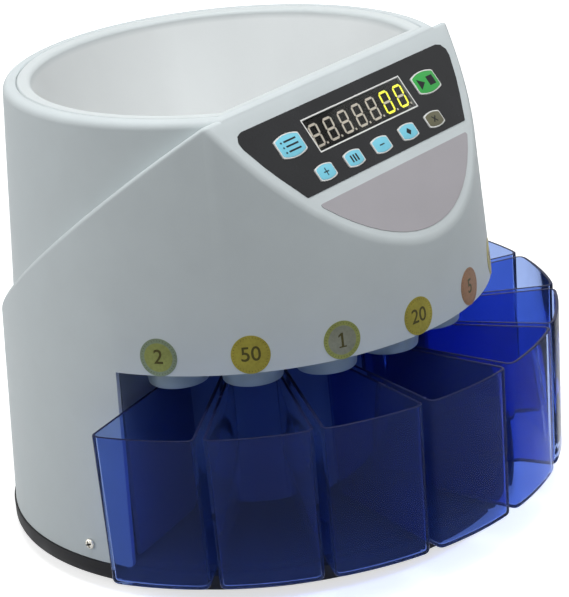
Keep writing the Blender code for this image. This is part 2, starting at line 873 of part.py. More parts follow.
def cup_outline(outer, inner, half_angle, corner):
    """Plan of a cup: a sector with rounded corners and a curved front."""
    left, right = polar(outer, -half_angle), polar(outer, half_angle)
    near_left, near_right = polar(inner, -half_angle), polar(inner, half_angle)
    front = arc(outer, -half_angle, half_angle, 5)[1:-1]
    corners = [(near_left.x, near_left.y, cup_inner_corner), (left.x, left.y, corner)]
    corners += [(p.x, p.y, 0) for p in front]
    corners += [(right.x, right.y, corner), (near_right.x, near_right.y, cup_inner_corner)]
    return rounded(corners, 2)


def build_cups():
    """Eight translucent cups, each an open tapered box standing on the floor."""
    bottom = floor_height + clearance
    low = cup_outline(cup_base_radius, cup_inner_radius + cup_draft_inside, cup_base_half_angle,
                      cup_base_corner)
    high = cup_outline(cup_radius, cup_inner_radius, cup_half_angle, cup_corner)
    for i, degrees in enumerate(cup_angles):
        rings = [[(p.x, p.y, bottom) for p in low], [(p.x, p.y, cup_top) for p in high]]
        cup = loft(f"cup_{i + 1}", rings, cup_blue, caps=(True, False),
                   rotation=(0, 0, math.radians(degrees)))
        bevel(cup, cup_edge_round, 2, 50)
        mod = cup.modifiers.new("wall", "SOLIDIFY")
        mod.thickness = cup_wall
        mod.offset = -1
        mod.use_even_offset = True


def build_hub():
    """Round wall round the drive, and the two side walls of the cup bay."""
    bottom = floor_height + clearance
    turned("hub_wall", [(hub_radius, hub_top), (hub_radius, bottom),
                        (hub_radius - hub_wall_thickness, bottom),
                        (hub_radius - hub_wall_thickness, hub_top)], chute_grey, steps=INNER_TURN)
    for name, side in (("left", -1), ("right", 1)):
        start = hub_radius + 2 * clearance
        finish = reach_inside(skirt_radius(hub_top) - wall, hub_wall_thickness)
        thick = (0, hub_wall_thickness) if side > 0 else (-hub_wall_thickness, 0)
        box(f"bay_side_{name}", (thick[0], -finish, bottom), (thick[1], -start, hub_top - clearance),
            body_grey, rotation=(0, 0, math.radians(side * bay_half_angle)))


def build_track():
    """Ring that carries the sorting plate, on four legs, and its cover."""
    ledge = plate_height - clearance
    low = track_low
    flange = reach_inside(drum_radius(cover_height + cover_thickness) - wall, 0)
    inner = plate_radius + clearance
    profile = [
        (inner + track_wall, cover_height - clearance),
        (inner + track_wall, ledge),
        (flange, ledge),
        (flange, low),
        (inner - track_lip_width, low),
        (inner - track_lip_width, ledge),
        (inner, ledge),
        (inner, cover_height - clearance),
    ]
    ring = turned("track_ring", profile, black_plastic, steps=INNER_TURN)
    deck_top = deck_height + deck_thickness + clearance
    for degrees in leg_angles:
        x, y = polar(leg_ring_radius, degrees)
        leg = cylinder(f"track_leg_{degrees}", leg_radius, deck_top, low + track_floor / 2,
                       location=(x, y, 0), steps=PIN_TURN)
        boolean(ring, leg, "UNION")
    inner_edge = bowl_radius(bowl_bottom)
    turned("track_cover", [(flange, cover_height + cover_thickness),
                           (flange, cover_height), (inner_edge, cover_height),
                           (inner_edge, cover_height + cover_thickness)], aluminium,
           steps=INNER_TURN)


def build_plate():
    """Metal plate with eight round holes, each the size of one coin."""
    holes = [circle((d + coin_play) / 2, SMALL_TURN, polar(coin_ring_radius, a))
             for d, a in zip(coin_diameters, cup_angles)]
    centre = circle(bearing_radius + clearance, PIN_TURN)
    flat("sorting_plate", [circle(plate_radius, INNER_TURN), centre] + holes, plate_height,
         plate_top_height, aluminium)


def build_rotor():
    """Turning disc: a low dome in the middle and coin pockets round the rim."""
    dome_top = rotor_top + dome_rise
    bore = shaft_radius + clearance
    profile = [
        (dome_top_radius, dome_top), (dome_radius, rotor_top), (rotor_radius, rotor_top),
        (rotor_radius, rotor_height), (bore, rotor_height), (bore, dome_top),
    ]
    rotor = turned("coin_rotor", profile, black_plastic, steps=INNER_TURN)
    for k in range(pocket_count):
        x, y = polar(coin_ring_radius, 360 * k / pocket_count)
        boolean(rotor, cylinder(f"pocket_{k}", pocket_radius, rotor_height - overrun / 4,
                                rotor_top + overrun / 4, location=(x, y, 0), steps=SMALL_TURN))
    cap_low = dome_top + clearance
    cap = cylinder("rotor_cap", cap_radius, cap_low, cap_low + cap_height, steel,
                   top_radius=cap_radius * cap_top_share)
    bevel(cap, cap_height / 5, 1)
    cylinder("main_shaft", shaft_radius, shaft_bottom, dome_top, steel, steps=PIN_TURN)


def gear_outline(teeth, backlash):
    """Spur gear outline with straight-sided teeth, first tooth at the front."""
    pitch = gear_module * teeth / 2
    tip, root = pitch + gear_module * tooth_tip_share, pitch - gear_module * tooth_root_share
    pitch_angle = 360 / teeth
    loss = math.degrees(backlash / pitch)
    half_root = pitch_angle * tooth_root_width_share - loss
    half_tip = pitch_angle * tooth_tip_width_share - loss
    points = []
    for k in range(teeth):
        centre = k * pitch_angle
        for radius, turn in ((root, -half_root), (tip, -half_tip), (tip, half_tip),
                             (root, half_root)):
            points.append(polar(radius, centre + turn))
    return points


def build_drive():
    """Geared motor on a plate in the hub, its pinion and the large gear."""
    centre_distance = gear_module * (gear_teeth + pinion_teeth) / 2
    turn = math.radians(motor_angle)
    gear_top = gear_height + gear_thickness
    bore = circle(shaft_radius + clearance, PIN_TURN)
    flat("drive_gear", [gear_outline(gear_teeth, gear_backlash), bore], gear_height, gear_top,
         gear_nylon, rotation=(0, 0, turn))
    motor = polar(centre_distance, motor_angle)
    place = {"location": (motor.x, motor.y, 0)}
    half_tooth = math.pi / pinion_teeth
    pinion = flat("motor_pinion", [gear_outline(pinion_teeth, gear_backlash)], gear_height,
                  gear_top, brass, rotation=(0, 0, turn + math.pi + half_tooth), **place)
    plate_low = motor_plate_height
    plate_high = plate_low + motor_plate_thickness
    shaft = cylinder("pinion_shaft", motor_shaft_radius, plate_low - pinion_shaft_drop,
                     gear_height + gear_thickness / 2, steps=PIN_TURN, **place)
    boolean(pinion, shaft, "UNION")
    box_top = plate_low - clearance
    box_low = box_top - gearbox_length
    motor_low = floor_height + motor_floor_gap
    shaft_hole = motor_shaft_radius + clearance
    profile = [
        (0, box_top - 2 * pinion_shaft_drop), (shaft_hole, box_top - 2 * pinion_shaft_drop),
        (shaft_hole, box_top), (gearbox_radius, box_top), (gearbox_radius, box_low),
        (motor_radius, box_low), (motor_radius, motor_low + motor_radius / 8),
        (motor_radius * motor_end_share, motor_low), (0, motor_low),
    ]
    turned("gear_motor", profile, steel, closed=False, steps=SMALL_TURN, **place)
    hub_inside = hub_radius - hub_wall_thickness - clearance
    holes = [circle(bearing_radius + clearance, PIN_TURN),
             circle(2 * shaft_hole, PIN_TURN, motor)]
    flat("motor_plate", [circle(hub_inside, INNER_TURN)] + holes, plate_low, plate_high, steel)
    for name, low in (("lower_bearing", plate_low - bearing_length / 2),
                      ("upper_bearing", plate_top_height - bearing_length)):
        inner = shaft_radius + clearance
        high = low + bearing_length
        turned(name, [(bearing_radius, high), (bearing_radius, low), (inner, low), (inner, high)],
               brass, steps=PIN_TURN)


def build_panel():
    """Overlay, bare plate, display and keys in the plane of the panel."""
    low = clearance - recess_depth
    holes = [window_outline()]
    holes += [[p + Vector((x, -row)) for p in key_outline(width, height, clearance)]
              for _, x, row, width, height, _ in KEYS]
    flat("panel_overlay", [overlay_outline(clearance)] + holes, low, overlay_proud, overlay_black,
         parent=panel)
    flat("lower_plate", [lower_outline(clearance)], low, overlay_proud, plate_grey, parent=panel)
    window_low = overlay_proud - window_thickness
    flat("display_window", [window_outline(clearance)], window_low, overlay_proud, window_smoke,
         parent=panel)
    module_top = window_low - clearance
    board_face = -board_depth
    module = box("display_module",
                 (-window_width / 2 + module_inset, -window_centre - window_height / 2 + module_inset,
                  board_face + clearance),
                 (window_width / 2 - module_inset, -window_centre + window_height / 2 - module_inset,
                  module_top), module_black, parent=panel)
    bevel(module, module_inset / 4, 1)
    box("control_board", (-board_width / 2, -board_bottom, board_face - board_thickness),
        (board_width / 2, -board_top, board_face), board_green, parent=panel)
    stem_bottom = board_face + clearance + key_travel
    for name, x, row, width, height, mat in KEYS:
        seat = {"parent": panel, "location": (x, -row, 0)}
        key = flat(f"key_{name}", [key_outline(width, height)], -key_depth, key_proud, mat, **seat)
        stem = cylinder(f"key_stem_{name}", key_stem_radius, stem_bottom, -key_depth / 2,
                        steps=PIN_TURN, **seat)
        boolean(key, stem, "UNION")


def build_back():
    """Mains inlet, rocker switch and the power board behind the hub."""
    face = skirt_radius(back_flat_centre) - back_flat_depth + clearance
    front = face + inlet_flange_thickness
    seat = {"location": (inlet_offset, 0, back_flat_centre)}
    w, h = inlet_width / 2, inlet_height / 2
    inlet = box("power_inlet", (-w, face - inlet_depth, -h), (w, front, h), black_plastic, **seat)
    flange = box("inlet_flange", (-w - inlet_flange, face, -h - inlet_flange),
                 (w + inlet_flange, front, h + inlet_flange), **seat)
    boolean(inlet, bevel(flange, inlet_flange_thickness / 4, 1), "UNION")
    cw, ch = w - inlet_cavity_wall, h - inlet_cavity_wall
    cavity = [(-cw, -ch, 0), (cw, -ch, 0), (cw, ch - inlet_corner, 0), (cw - inlet_corner, ch, 0),
              (inlet_corner - cw, ch, 0), (-cw, ch - inlet_corner, 0)]
    turn = (math.pi / 2, 0, 0)
    hollow = flat("inlet_cavity", [rounded(cavity)], -front - overrun, inlet_cavity_depth - front,
                  rotation=turn, **seat)
    boolean(inlet, hollow)
    floor = front - inlet_cavity_depth
    for k, (column, row) in enumerate(((-1, -1), (0, 1), (1, -1))):
        x, z = column * blade_spacing, row * blade_rise
        boolean(inlet, box(f"blade_{k}",
                           (x - blade_width / 2, floor - inlet_cavity_wall, z - blade_height / 2),
                           (x + blade_width / 2, floor + blade_length, z + blade_height / 2),
                           **seat), "UNION")
    seat = {"location": (switch_offset, 0, back_flat_centre)}
    w, h = switch_width / 2, switch_height / 2
    bezel_front = face + switch_flange / 2
    bezel = box("switch_bezel", (-w, face - switch_depth, -h), (w, bezel_front, h), black_plastic,
                **seat)
    flange = box("bezel_flange", (-w - switch_flange, face, -h - switch_flange),
                 (w + switch_flange, bezel_front, h + switch_flange), **seat)
    boolean(bezel, bevel(flange, switch_flange / 6, 1), "UNION")
    cw, ch = w - switch_wall, h - switch_wall
    boolean(bezel, box("bezel_hollow", (-cw, face - switch_depth + switch_wall, -ch),
                       (cw, face + overrun, ch), **seat))
    half = ch - rocker_play
    root = half * rocker_root_share
    outline = [(-rocker_depth, -root), (-rocker_depth, root), (0, half),
               (rocker_proud, half), (rocker_proud - rocker_dish, 0), (rocker_proud, -half),
               (0, -half)]
    width = cw - clearance
    tilt = Matrix.Rotation(math.radians(rocker_tilt), 2)
    flat("power_rocker", [[tilt @ Vector(point) for point in outline]], -width, width,
         black_plastic, location=(switch_offset, bezel_front, back_flat_centre),
         rotation=(math.pi / 2, 0, math.pi / 2))
    board_low = floor_height + standoff_height + clearance
    board_top_z = board_low + board_thickness
    x, y = power_board_width / 2, power_board_length / 2
    box("power_board", (-x, power_board_y - y, board_low), (x, power_board_y + y, board_top_z),
        board_green)
    low = board_top_z + clearance
    half_x, half_y = transformer_width / 2, transformer_length / 2
    core = box("transformer", (-half_x, -half_y + transformer_yoke, low),
               (half_x, half_y - transformer_yoke, low + transformer_height), steel,
               location=(0, power_board_y, 0))
    coil = box("coil_block", (-half_x + 2 * transformer_yoke, -half_y, low + transformer_yoke),
               (half_x - 2 * transformer_yoke, half_y,
                low + transformer_height - transformer_yoke), location=(0, power_board_y, 0))
    boolean(core, bevel(coil, transformer_round, 2), "UNION")


def build_screws():
    """Cross-head screws at the foot of the case, one on each side."""
    radius = skirt_radius(screw_height)
    head_low = radius + clearance
    for name, side in (("left", -1), ("right", 1)):
        head_top = head_low + screw_head_height
        crown, fall, edge = screw_crown_shares
        profile = [(0, head_top), (screw_head_radius * crown, head_top - screw_head_height * fall),
                   (screw_head_radius, head_low + screw_head_height * edge),
                   (screw_head_radius, head_low), (screw_shank_radius, head_low),
                   (screw_shank_radius, radius - screw_length), (0, radius - screw_length)]
        place = {"location": (0, 0, screw_height),
                 "rotation": (math.pi / 2, 0, math.radians(side * screw_angle))}
        screw = turned(f"case_screw_{name}", profile, steel, closed=False, steps=PIN_TURN, **place)
        low = head_top - cross_depth
        wide = screw_head_radius * cross_width_share
        long = screw_head_radius * cross_length_share
        for k, (w, h) in enumerate(((wide, long), (long, wide))):
            boolean(screw, box(f"cross_{name}_{k}", (-w / 2, -h / 2, low),
                               (w / 2, h / 2, head_top + overrun / 4), **place))


build_base()
build_feet()
build_case()
build_drum()
build_hopper()
build_deck()
build_chutes()
build_cups()
build_hub()
build_track()
build_plate()
build_rotor()
build_drive()
build_panel()
build_back()
build_screws()
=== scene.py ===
import math

import bmesh
import bpy
from mathutils import Matrix, Vector


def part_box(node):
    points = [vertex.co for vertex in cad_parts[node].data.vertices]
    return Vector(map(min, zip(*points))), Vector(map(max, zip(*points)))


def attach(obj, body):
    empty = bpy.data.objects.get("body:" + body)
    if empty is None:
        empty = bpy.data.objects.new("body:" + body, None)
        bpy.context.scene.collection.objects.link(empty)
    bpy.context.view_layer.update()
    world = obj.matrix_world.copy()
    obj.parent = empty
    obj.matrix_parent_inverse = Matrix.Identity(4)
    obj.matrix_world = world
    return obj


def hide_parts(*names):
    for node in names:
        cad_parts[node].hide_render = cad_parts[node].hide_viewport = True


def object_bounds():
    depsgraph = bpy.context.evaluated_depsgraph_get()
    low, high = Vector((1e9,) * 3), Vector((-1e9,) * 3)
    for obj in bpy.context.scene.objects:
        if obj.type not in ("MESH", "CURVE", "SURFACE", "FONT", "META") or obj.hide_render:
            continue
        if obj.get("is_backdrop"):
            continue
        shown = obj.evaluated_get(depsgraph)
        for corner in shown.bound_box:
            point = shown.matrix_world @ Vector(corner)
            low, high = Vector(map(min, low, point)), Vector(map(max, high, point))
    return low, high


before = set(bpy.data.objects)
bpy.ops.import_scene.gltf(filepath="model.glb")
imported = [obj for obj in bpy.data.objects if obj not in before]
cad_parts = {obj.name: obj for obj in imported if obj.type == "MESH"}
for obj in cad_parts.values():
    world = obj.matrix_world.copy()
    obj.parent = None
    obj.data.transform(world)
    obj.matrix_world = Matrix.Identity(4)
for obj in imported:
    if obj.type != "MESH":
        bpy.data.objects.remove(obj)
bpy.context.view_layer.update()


# Base pan
# The black pan that the machine stands on, moulded in grained ABS with an edge band and
# a raised floor for the cups. A ring and six ribs stiffen it from below.
axis_y = 0.015285
band_radius, band_low, band_high, band_width = 0.14943, 0.007, 0.0161, 0.005
floor_z, pan_skin, rib_depth, spigot_radius = 0.020, 0.003, 0.004, 0.14488
ring_out, ring_in, rib_start, rib_end, rib_half = 0.060, 0.057, 0.0585, 0.1446, 0.0015


def add_node(tree, kind, values=(), operation=None, blend=None):
    """Add a shader node with its socket values, its operation or its colour blend."""
    made = tree.nodes.new("ShaderNode" + kind)
    if operation:
        made.operation = operation
    if blend:
        made.data_type, made.blend_type = "RGBA", blend
    for socket, value in values:
        made.inputs[socket].default_value = value
    return made


def ranged(tree, low, high, to_low=0.0, to_high=1.0):
    """Add a node that stretches one range of values onto another."""
    return add_node(tree, "MapRange", [("From Min", low), ("From Max", high),
                                       ("To Min", to_low), ("To Max", to_high)])


def moulded(name, colour, rough, grain, depth, mottle=0.05, metal=0.0, spread=0.08, shine=0.5):
    """A moulded or worked surface: fine grain in the bump, cloudy colour and sheen."""
    mat = bpy.data.materials.new(name)
    mat.use_nodes = True
    tree = mat.node_tree
    shader = tree.nodes["Principled BSDF"]
    shader.inputs["Metallic"].default_value = metal
    shader.inputs["Specular IOR Level"].default_value = shine
    where = add_node(tree, "TexCoord")
    fine = add_node(tree, "TexNoise", [("Scale", 1 / grain), ("Detail", 3.0)])
    cloud = add_node(tree, "TexNoise", [("Scale", 38.0), ("Detail", 4.0)])
    both = add_node(tree, "Math", [(1, 0.45)], "MULTIPLY_ADD")
    tint = ranged(tree, 0.45, 1.0, 1 - mottle, 1 + mottle)
    mixed = add_node(tree, "Mix", [("Factor", 1.0), ("A", (*colour, 1))], blend="MULTIPLY")
    mixed.name = "cloudy_colour"
    sheen = ranged(tree, 0.3, 0.7, max(rough - spread, 0.02), rough + spread)
    link = tree.links.new
    link(where.outputs["Object"], fine.inputs["Vector"])
    link(where.outputs["Object"], cloud.inputs["Vector"])
    link(fine.outputs["Fac"], both.inputs[0])
    link(cloud.outputs["Fac"], both.inputs[2])
    link(both.outputs["Value"], tint.inputs["Value"])
    link(tint.outputs["Result"], mixed.inputs["B"])
    link(mixed.outputs["Result"], shader.inputs["Base Color"])
    link(cloud.outputs["Fac"], sheen.inputs["Value"])
    link(sheen.outputs["Result"], shader.inputs["Roughness"])
    if depth:
        bump = add_node(tree, "Bump", [("Strength", 1.0), ("Distance", depth)])
        link(fine.outputs["Fac"], bump.inputs["Height"])
        link(bump.outputs["Normal"], shader.inputs["Normal"])
    return mat


def turned(profile, steps=192, closed=True, centre=(0, axis_y)):
    """Spin a profile of (radius, height) points once round an upright axis."""
    bm = bmesh.new()
    dots = [bm.verts.new((r, 0, z)) for r, z in profile]
    lines = [bm.edges.new(pair) for pair in zip(dots, dots[1:])]
    if closed:
        lines.append(bm.edges.new((dots[-1], dots[0])))
    bmesh.ops.spin(bm, geom=dots + lines, cent=(0, 0, 0), axis=(0, 0, 1), angle=math.tau,
                   steps=steps, use_merge=True)
    bmesh.ops.remove_doubles(bm, verts=bm.verts, dist=1e-6)
    bmesh.ops.recalc_face_normals(bm, faces=bm.faces)
    bmesh.ops.translate(bm, verts=bm.verts, vec=(*centre, 0))
    return bm


def block(low, high, place=Matrix.Identity(4)):
    """A box between two corners, then put in place."""
    bm = bmesh.new()
    bmesh.ops.create_cube(bm, size=1.0)
    size = Vector(high) - Vector(low)
    bmesh.ops.scale(bm, verts=bm.verts, vec=size)
    bmesh.ops.translate(bm, verts=bm.verts, vec=(Vector(low) + Vector(high)) / 2)
    bmesh.ops.transform(bm, matrix=place, verts=bm.verts)
    return bm


def mesh_of(name, bm):
    """Turn a bmesh into a mesh and let the bmesh go."""
    mesh = bpy.data.meshes.new(name)
    bm.to_mesh(mesh)
    bm.free()
    return mesh


def joined(*meshes):
    """Several bmeshes gathered in one."""
    whole = bmesh.new()
    for bm in meshes:
        mesh = mesh_of("part", bm)
        whole.from_mesh(mesh)
        bpy.data.meshes.remove(mesh)
    return whole


def shown(name, data):
    """Put an object with some data into the scene."""
    obj = bpy.data.objects.new(name, data)
    bpy.context.scene.collection.objects.link(obj)
    return obj


def piece(name, bm, finish, body="machine", stands_for=(), sharp=32):
    """Make an object of a finished bmesh, shade it and hang it on its body."""
    mesh = mesh_of(name, bm)
    mesh.materials.append(finish)
    mesh.shade_smooth()
    mesh.set_sharp_from_angle(angle=math.radians(sharp))
    obj = shown(name, mesh)
    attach(obj, body)
    if stands_for:
        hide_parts(*stands_for)
    return obj


def upright(degrees=0.0):
    """The place of the machine's upright axis, turned about it by some degrees."""
    return Matrix.Translation((0, axis_y, 0)) @ Matrix.Rotation(math.radians(degrees), 4, "Z")


grained_black = moulded("grained_black", (0.013, 0.013, 0.015), 0.50, 0.0006, 0.00004, 0.25,
                        shine=0.15)
rib_low = floor_z - pan_skin - rib_depth
pan_profile = [
    (0, floor_z), (spigot_radius - 0.001, floor_z), (spigot_radius - 0.0003, floor_z - 0.0003),
    (spigot_radius, floor_z - 0.001), (spigot_radius, band_high),
    (band_radius - 0.0007, band_high), (band_radius - 0.0002, band_high - 0.0002),
    (band_radius, band_high - 0.0007), (band_radius, band_low + 0.0012),
    (band_radius - 0.0003, band_low + 0.0004), (band_radius - 0.0011, band_low),
    (band_radius - band_width, band_low), (band_radius - band_width, floor_z - pan_skin),
    (ring_out, floor_z - pan_skin), (ring_out, rib_low), (ring_in, rib_low),
    (ring_in, floor_z - pan_skin), (0, floor_z - pan_skin)]
ribs = [block((rib_start, -rib_half, rib_low), (rib_end, rib_half, floor_z - 0.002),
              upright(60 * k + 52.5)) for k in range(6)]
piece("base_tray", joined(turned(pan_profile, closed=False), *ribs), grained_black,
      stands_for=["base_pan"])


# Rubber feet
# Four soft black pads, moulded with a small taper and a rounded sole, and pressed into
# the underside of the pan.
soft_rubber = moulded("soft_rubber", (0.028, 0.028, 0.029), 0.82, 0.0009, 0.00005, 0.3)
for foot in ("front_right", "back_right", "back_left", "front_left"):
    low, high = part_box(f"foot_{foot}")
    middle = (low + high) / 2
    wide = (high.x - low.x) / 2
    pad = turned([(0, high.z), (wide, high.z), (wide * 0.91, 0.0009), (wide * 0.88, 0.0003),
                  (wide * 0.83, 0), (wide * 0.5, 0), (wide * 0.45, 0.0005), (0, 0.0005)],
                 48, False, (middle.x, middle.y))
    piece(f"{foot}_pad", pad, soft_rubber, stands_for=[f"foot_{foot}"])


# Outer case
# The housing is one moulding in light grey ABS with a fine spark grain: a tapered round
# skirt under two sloping faces, with soft edges, open below over the cups.
top_z, wall = 0.266, 0.003
ridge_y, back_slope, front_slope = -0.07515, 0.7331, 1.3356
lip_z, bay_angle, fit = 0.1304, 81.85, 0.0003
skirt_r, skirt_taper, drum_r, drum_taper = 0.14923, 0.0525, 0.12548, 0.0706
roof_round, crown_round, rim_r, reach = 0.0028, 0.0016, 0.0045, 0.2
flat_half, flat_low, flat_high, flat_mid, flat_depth = 0.044, 0.039, 0.085, 0.062, 0.0085
fitting_low, fitting_high = 0.05145, 0.07255
inlet_span, switch_span = (0.0059, 0.0341), (-0.0283, -0.0137)
window_w, window_h, window_row = 0.0915, 0.0204, 0.0287
panel_place = (Matrix.Translation((0, axis_y + ridge_y, top_z))
               @ Matrix.Rotation(math.atan(front_slope), 4, "X"))
key_rows = (("left", -0.0637, 0.0285, 0.0213, 0.0143), ("start", 0.0637, 0.0285, 0.0213, 0.0143),
            ("row_1", -0.0514, 0.0496, 0.0149, 0.0099), ("row_2", -0.0257, 0.0496, 0.0149, 0.0099),
            ("row_3", 0.0, 0.0496, 0.0149, 0.0099), ("row_4", 0.0257, 0.0496, 0.0149, 0.0099),
            ("row_5", 0.0514, 0.0496, 0.0149, 0.0099))
front, back = Vector((0, -front_slope, 1)).normalized(), Vector((0, back_slope, 1)).normalized()


def skirt(z):
    """Outer radius of the skirt at height z."""
    return skirt_r - skirt_taper * z


def drum(z):
    """Outer radius of the drum at height z."""
    return drum_r + drum_taper * (top_z - z)


def sliced(bm, spot, outward):
    """Cut away what lies outside a plane and close the cut; gives the cut's edges."""
    whole = bm.verts[:] + bm.edges[:] + bm.faces[:]
    cut = bmesh.ops.bisect_plane(bm, geom=whole, dist=1e-7, plane_co=spot, plane_no=outward,
                                 clear_outer=True)["geom_cut"]
    lines = [e for e in cut if isinstance(e, bmesh.types.BMEdge)]
    bmesh.ops.holes_fill(bm, edges=lines, sides=0)
    return lines


def rounded(bm, geom, offset, segments, affect="EDGES", clamp=False):
    """Round some edges or corners of a bmesh."""
    bmesh.ops.bevel(bm, geom=geom, offset=offset, offset_type="OFFSET", segments=segments,
                    profile=0.5, affect=affect, clamp_overlap=clamp, material=-1)


def raised(bm, faces, height, keep=True):
    """Extrude flat faces straight up."""
    grown = bmesh.ops.extrude_face_region(bm, geom=faces, use_keep_orig=keep)["geom"]
    bmesh.ops.translate(bm, verts=[g for g in grown if isinstance(g, bmesh.types.BMVert)],
                        vec=(0, 0, height))


def rooted(inset):
    """The case's solid form, every outer face moved in by an inset."""
    low, high = -0.01, top_z + 0.01
    bm = turned([(0, high), (skirt(high) - inset, high), (skirt(low) - inset, low), (0, low)],
                120, False)
    ridge = Vector((0, axis_y + ridge_y, top_z))
    sliced(bm, ridge - front * inset, front)
    sliced(bm, ridge - back * inset, back)
    bmesh.ops.recalc_face_normals(bm, faces=bm.faces)
    bm.normal_update()
    if inset == 0:
        def on_roof(face):
            return face.normal.dot(front) > 0.9999 or face.normal.dot(back) > 0.9999
        edges = [e for e in bm.edges if any(on_roof(f) for f in e.link_faces)
                 and e.calc_face_angle(0) > 0.2]
        rounded(bm, edges, roof_round, 6)
    return bm


def carved(bm, shapes, way="DIFFERENCE"):
    """Cut closed shapes out of a solid bmesh, or keep only what it shares with them."""
    whole = shown("cut", mesh_of("cut", bm))
    helpers = [shown("cut", mesh_of("cut", shape)) for shape in shapes]
    for helper in helpers:
        mod = whole.modifiers.new("cut", "BOOLEAN")
        mod.object = helper
        mod.operation = way
        mod.solver = "EXACT"
    bpy.context.view_layer.update()
    graph = bpy.context.evaluated_depsgraph_get()
    mesh = bpy.data.meshes.new_from_object(whole.evaluated_get(graph))
    result = bmesh.new()
    result.from_mesh(mesh)
    bpy.data.meshes.remove(mesh)
    for helper in helpers + [whole]:
        bpy.data.objects.remove(helper)
    return result


case_grey = moulded("case_grey", (0.60, 0.655, 0.67), 0.50, 0.00045, 0.000035, 0.035, shine=0.25)
skirt_foot = band_high + fit
back_face = skirt(flat_mid) - flat_depth
rim_x, rim_z = drum(top_z - rim_r) - rim_r, top_z - rim_r
rim = []
for k in range(13):
    turn = math.radians(7.5 * k)
    rim.append((rim_x + rim_r * math.sin(turn), rim_z + rim_r * math.cos(turn)))
crown = block((-0.15, ridge_y - 0.01, top_z - 0.004), (0.15, ridge_y + 0.0041, top_z),
              upright())
edge = Vector((0, axis_y + ridge_y + 0.00005, top_z))
sliced(crown, edge, front)
lines = [e for e in crown.edges if all((v.co - edge).yz.length < 1e-6 for v in e.verts)]
rounded(crown, lines, crown_round, 8)
bmesh.ops.recalc_face_normals(crown, faces=crown.faces)
disc = turned([(0, top_z)] + rim + [(drum(0.25), 0.25), (0, 0.25)], 144, False)
crown = carved(crown, [disc], "INTERSECT")
case = rooted(0)
sliced(case, (0, 0, skirt_foot), (0, 0, -1))
hollow = rooted(wall)
hollow = carved(hollow, [block((-flat_half - wall, back_face - wall, flat_low - wall),
                               (flat_half + wall, reach, flat_high + wall), upright())])
bay = bmesh.new()
hub = bay.verts.new((0, axis_y, -0.02))
rim_dot = bay.verts.new((0.3 * math.sin(math.radians(-bay_angle)),
                         axis_y - 0.3 * math.cos(math.radians(bay_angle)), -0.02))
spoke = bay.edges.new((hub, rim_dot))
bmesh.ops.spin(bay, geom=[hub, rim_dot, spoke], cent=(0, axis_y, 0), axis=(0, 0, 1),
               angle=math.radians(2 * bay_angle), steps=8)
bmesh.ops.remove_doubles(bay, verts=bay.verts, dist=1e-6)
raised(bay, bay.faces[:], lip_z + 0.02, keep=False)
bmesh.ops.recalc_face_normals(bay, faces=bay.faces)
hole_top, hole_low = 0.32, 0.092
drum_hole = turned([(0, hole_top), (drum(hole_top) + fit, hole_top),
                    (drum(hole_low) + fit, hole_low), (0, hole_low)], 144, False)
sliced(drum_hole, (0, axis_y + ridge_y + 0.004, 0), (0, -1, 0))
cuts = [block((-flat_half, back_face, flat_low), (flat_half, reach, flat_high), upright()),
        hollow, bay, drum_hole,
        block((-window_w / 2, -window_row - window_h / 2, -0.01),
              (window_w / 2, window_h / 2 - window_row, 0.02), panel_place)]
for left, right in (inlet_span, switch_span):
    cuts.append(block((left, back_face - 0.02, fitting_low),
                      (right, back_face + 0.01, fitting_high), upright()))
for label, x, row, w, h in key_rows:
    cuts.append(block((x - w / 2 - fit, -row - h / 2 - fit, -0.01),
                      (x + w / 2 + fit, h / 2 + fit - row, 0.02), panel_place))
piece("case_shell", joined(carved(case, cuts), crown), case_grey,
      stands_for=["outer_case"])


# Drum
# The drum behind the panel is a second grey moulding with a broad rounded rim. It drops
# into the case, and a step under the rim carries the hopper.
seam_r, step_width, step_low, drum_low = 0.118, 0.004, 0.256, 0.098
drum_profile = [(seam_r, top_z - 0.0006), (seam_r + 0.0006, top_z)] + rim + [
    (drum(drum_low), drum_low), (drum(drum_low) - wall, drum_low),
    (drum(step_low) - wall, step_low), (seam_r - step_width, step_low),
    (seam_r - step_width, top_z - rim_r), (seam_r, top_z - rim_r)]
shell = turned(drum_profile, 144)
sliced(shell, (0, axis_y + ridge_y + 0.0042, 0), (0, -1, 0))
shell = carved(shell, [block((-reach, -reach, 0), (reach, 0.015, 0.1682), upright())])
piece("drum_shell", shell, case_grey, stands_for=["drum_case"])


# Hopper
# The hopper is a glossy pale insert with a rolled lip that rests in the drum's rim. Its
# wall funnels coins down to the turning disc, and its front is flat behind the panel. The
# lip is painted a darker grey like the case's, painted shade that damps its highlight, and
# soft upright bands of painted sheen and shade run round the wall, lighter and darker by bearing.
mouth_r, lip_r, funnel_low, funnel_slope, bowl_wall = 0.10965, 0.003, 0.186, 0.36, 0.0025
hopper_pale = moulded("hopper_pale", (0.84, 0.885, 0.89), 0.34, 0.0012, 0.000008, 0.008,
                      spread=0.015, shine=0.25)
tree = hopper_pale.node_tree
where, parts = add_node(tree, "TexCoord"), add_node(tree, "SeparateXYZ")
from_axis = add_node(tree, "Math", [(1, axis_y)], "SUBTRACT")
bearing = add_node(tree, "Math", operation="ARCTAN2")
turn_share = ranged(tree, -math.pi, math.pi)
sheen_streaks = add_node(tree, "ValToRGB")
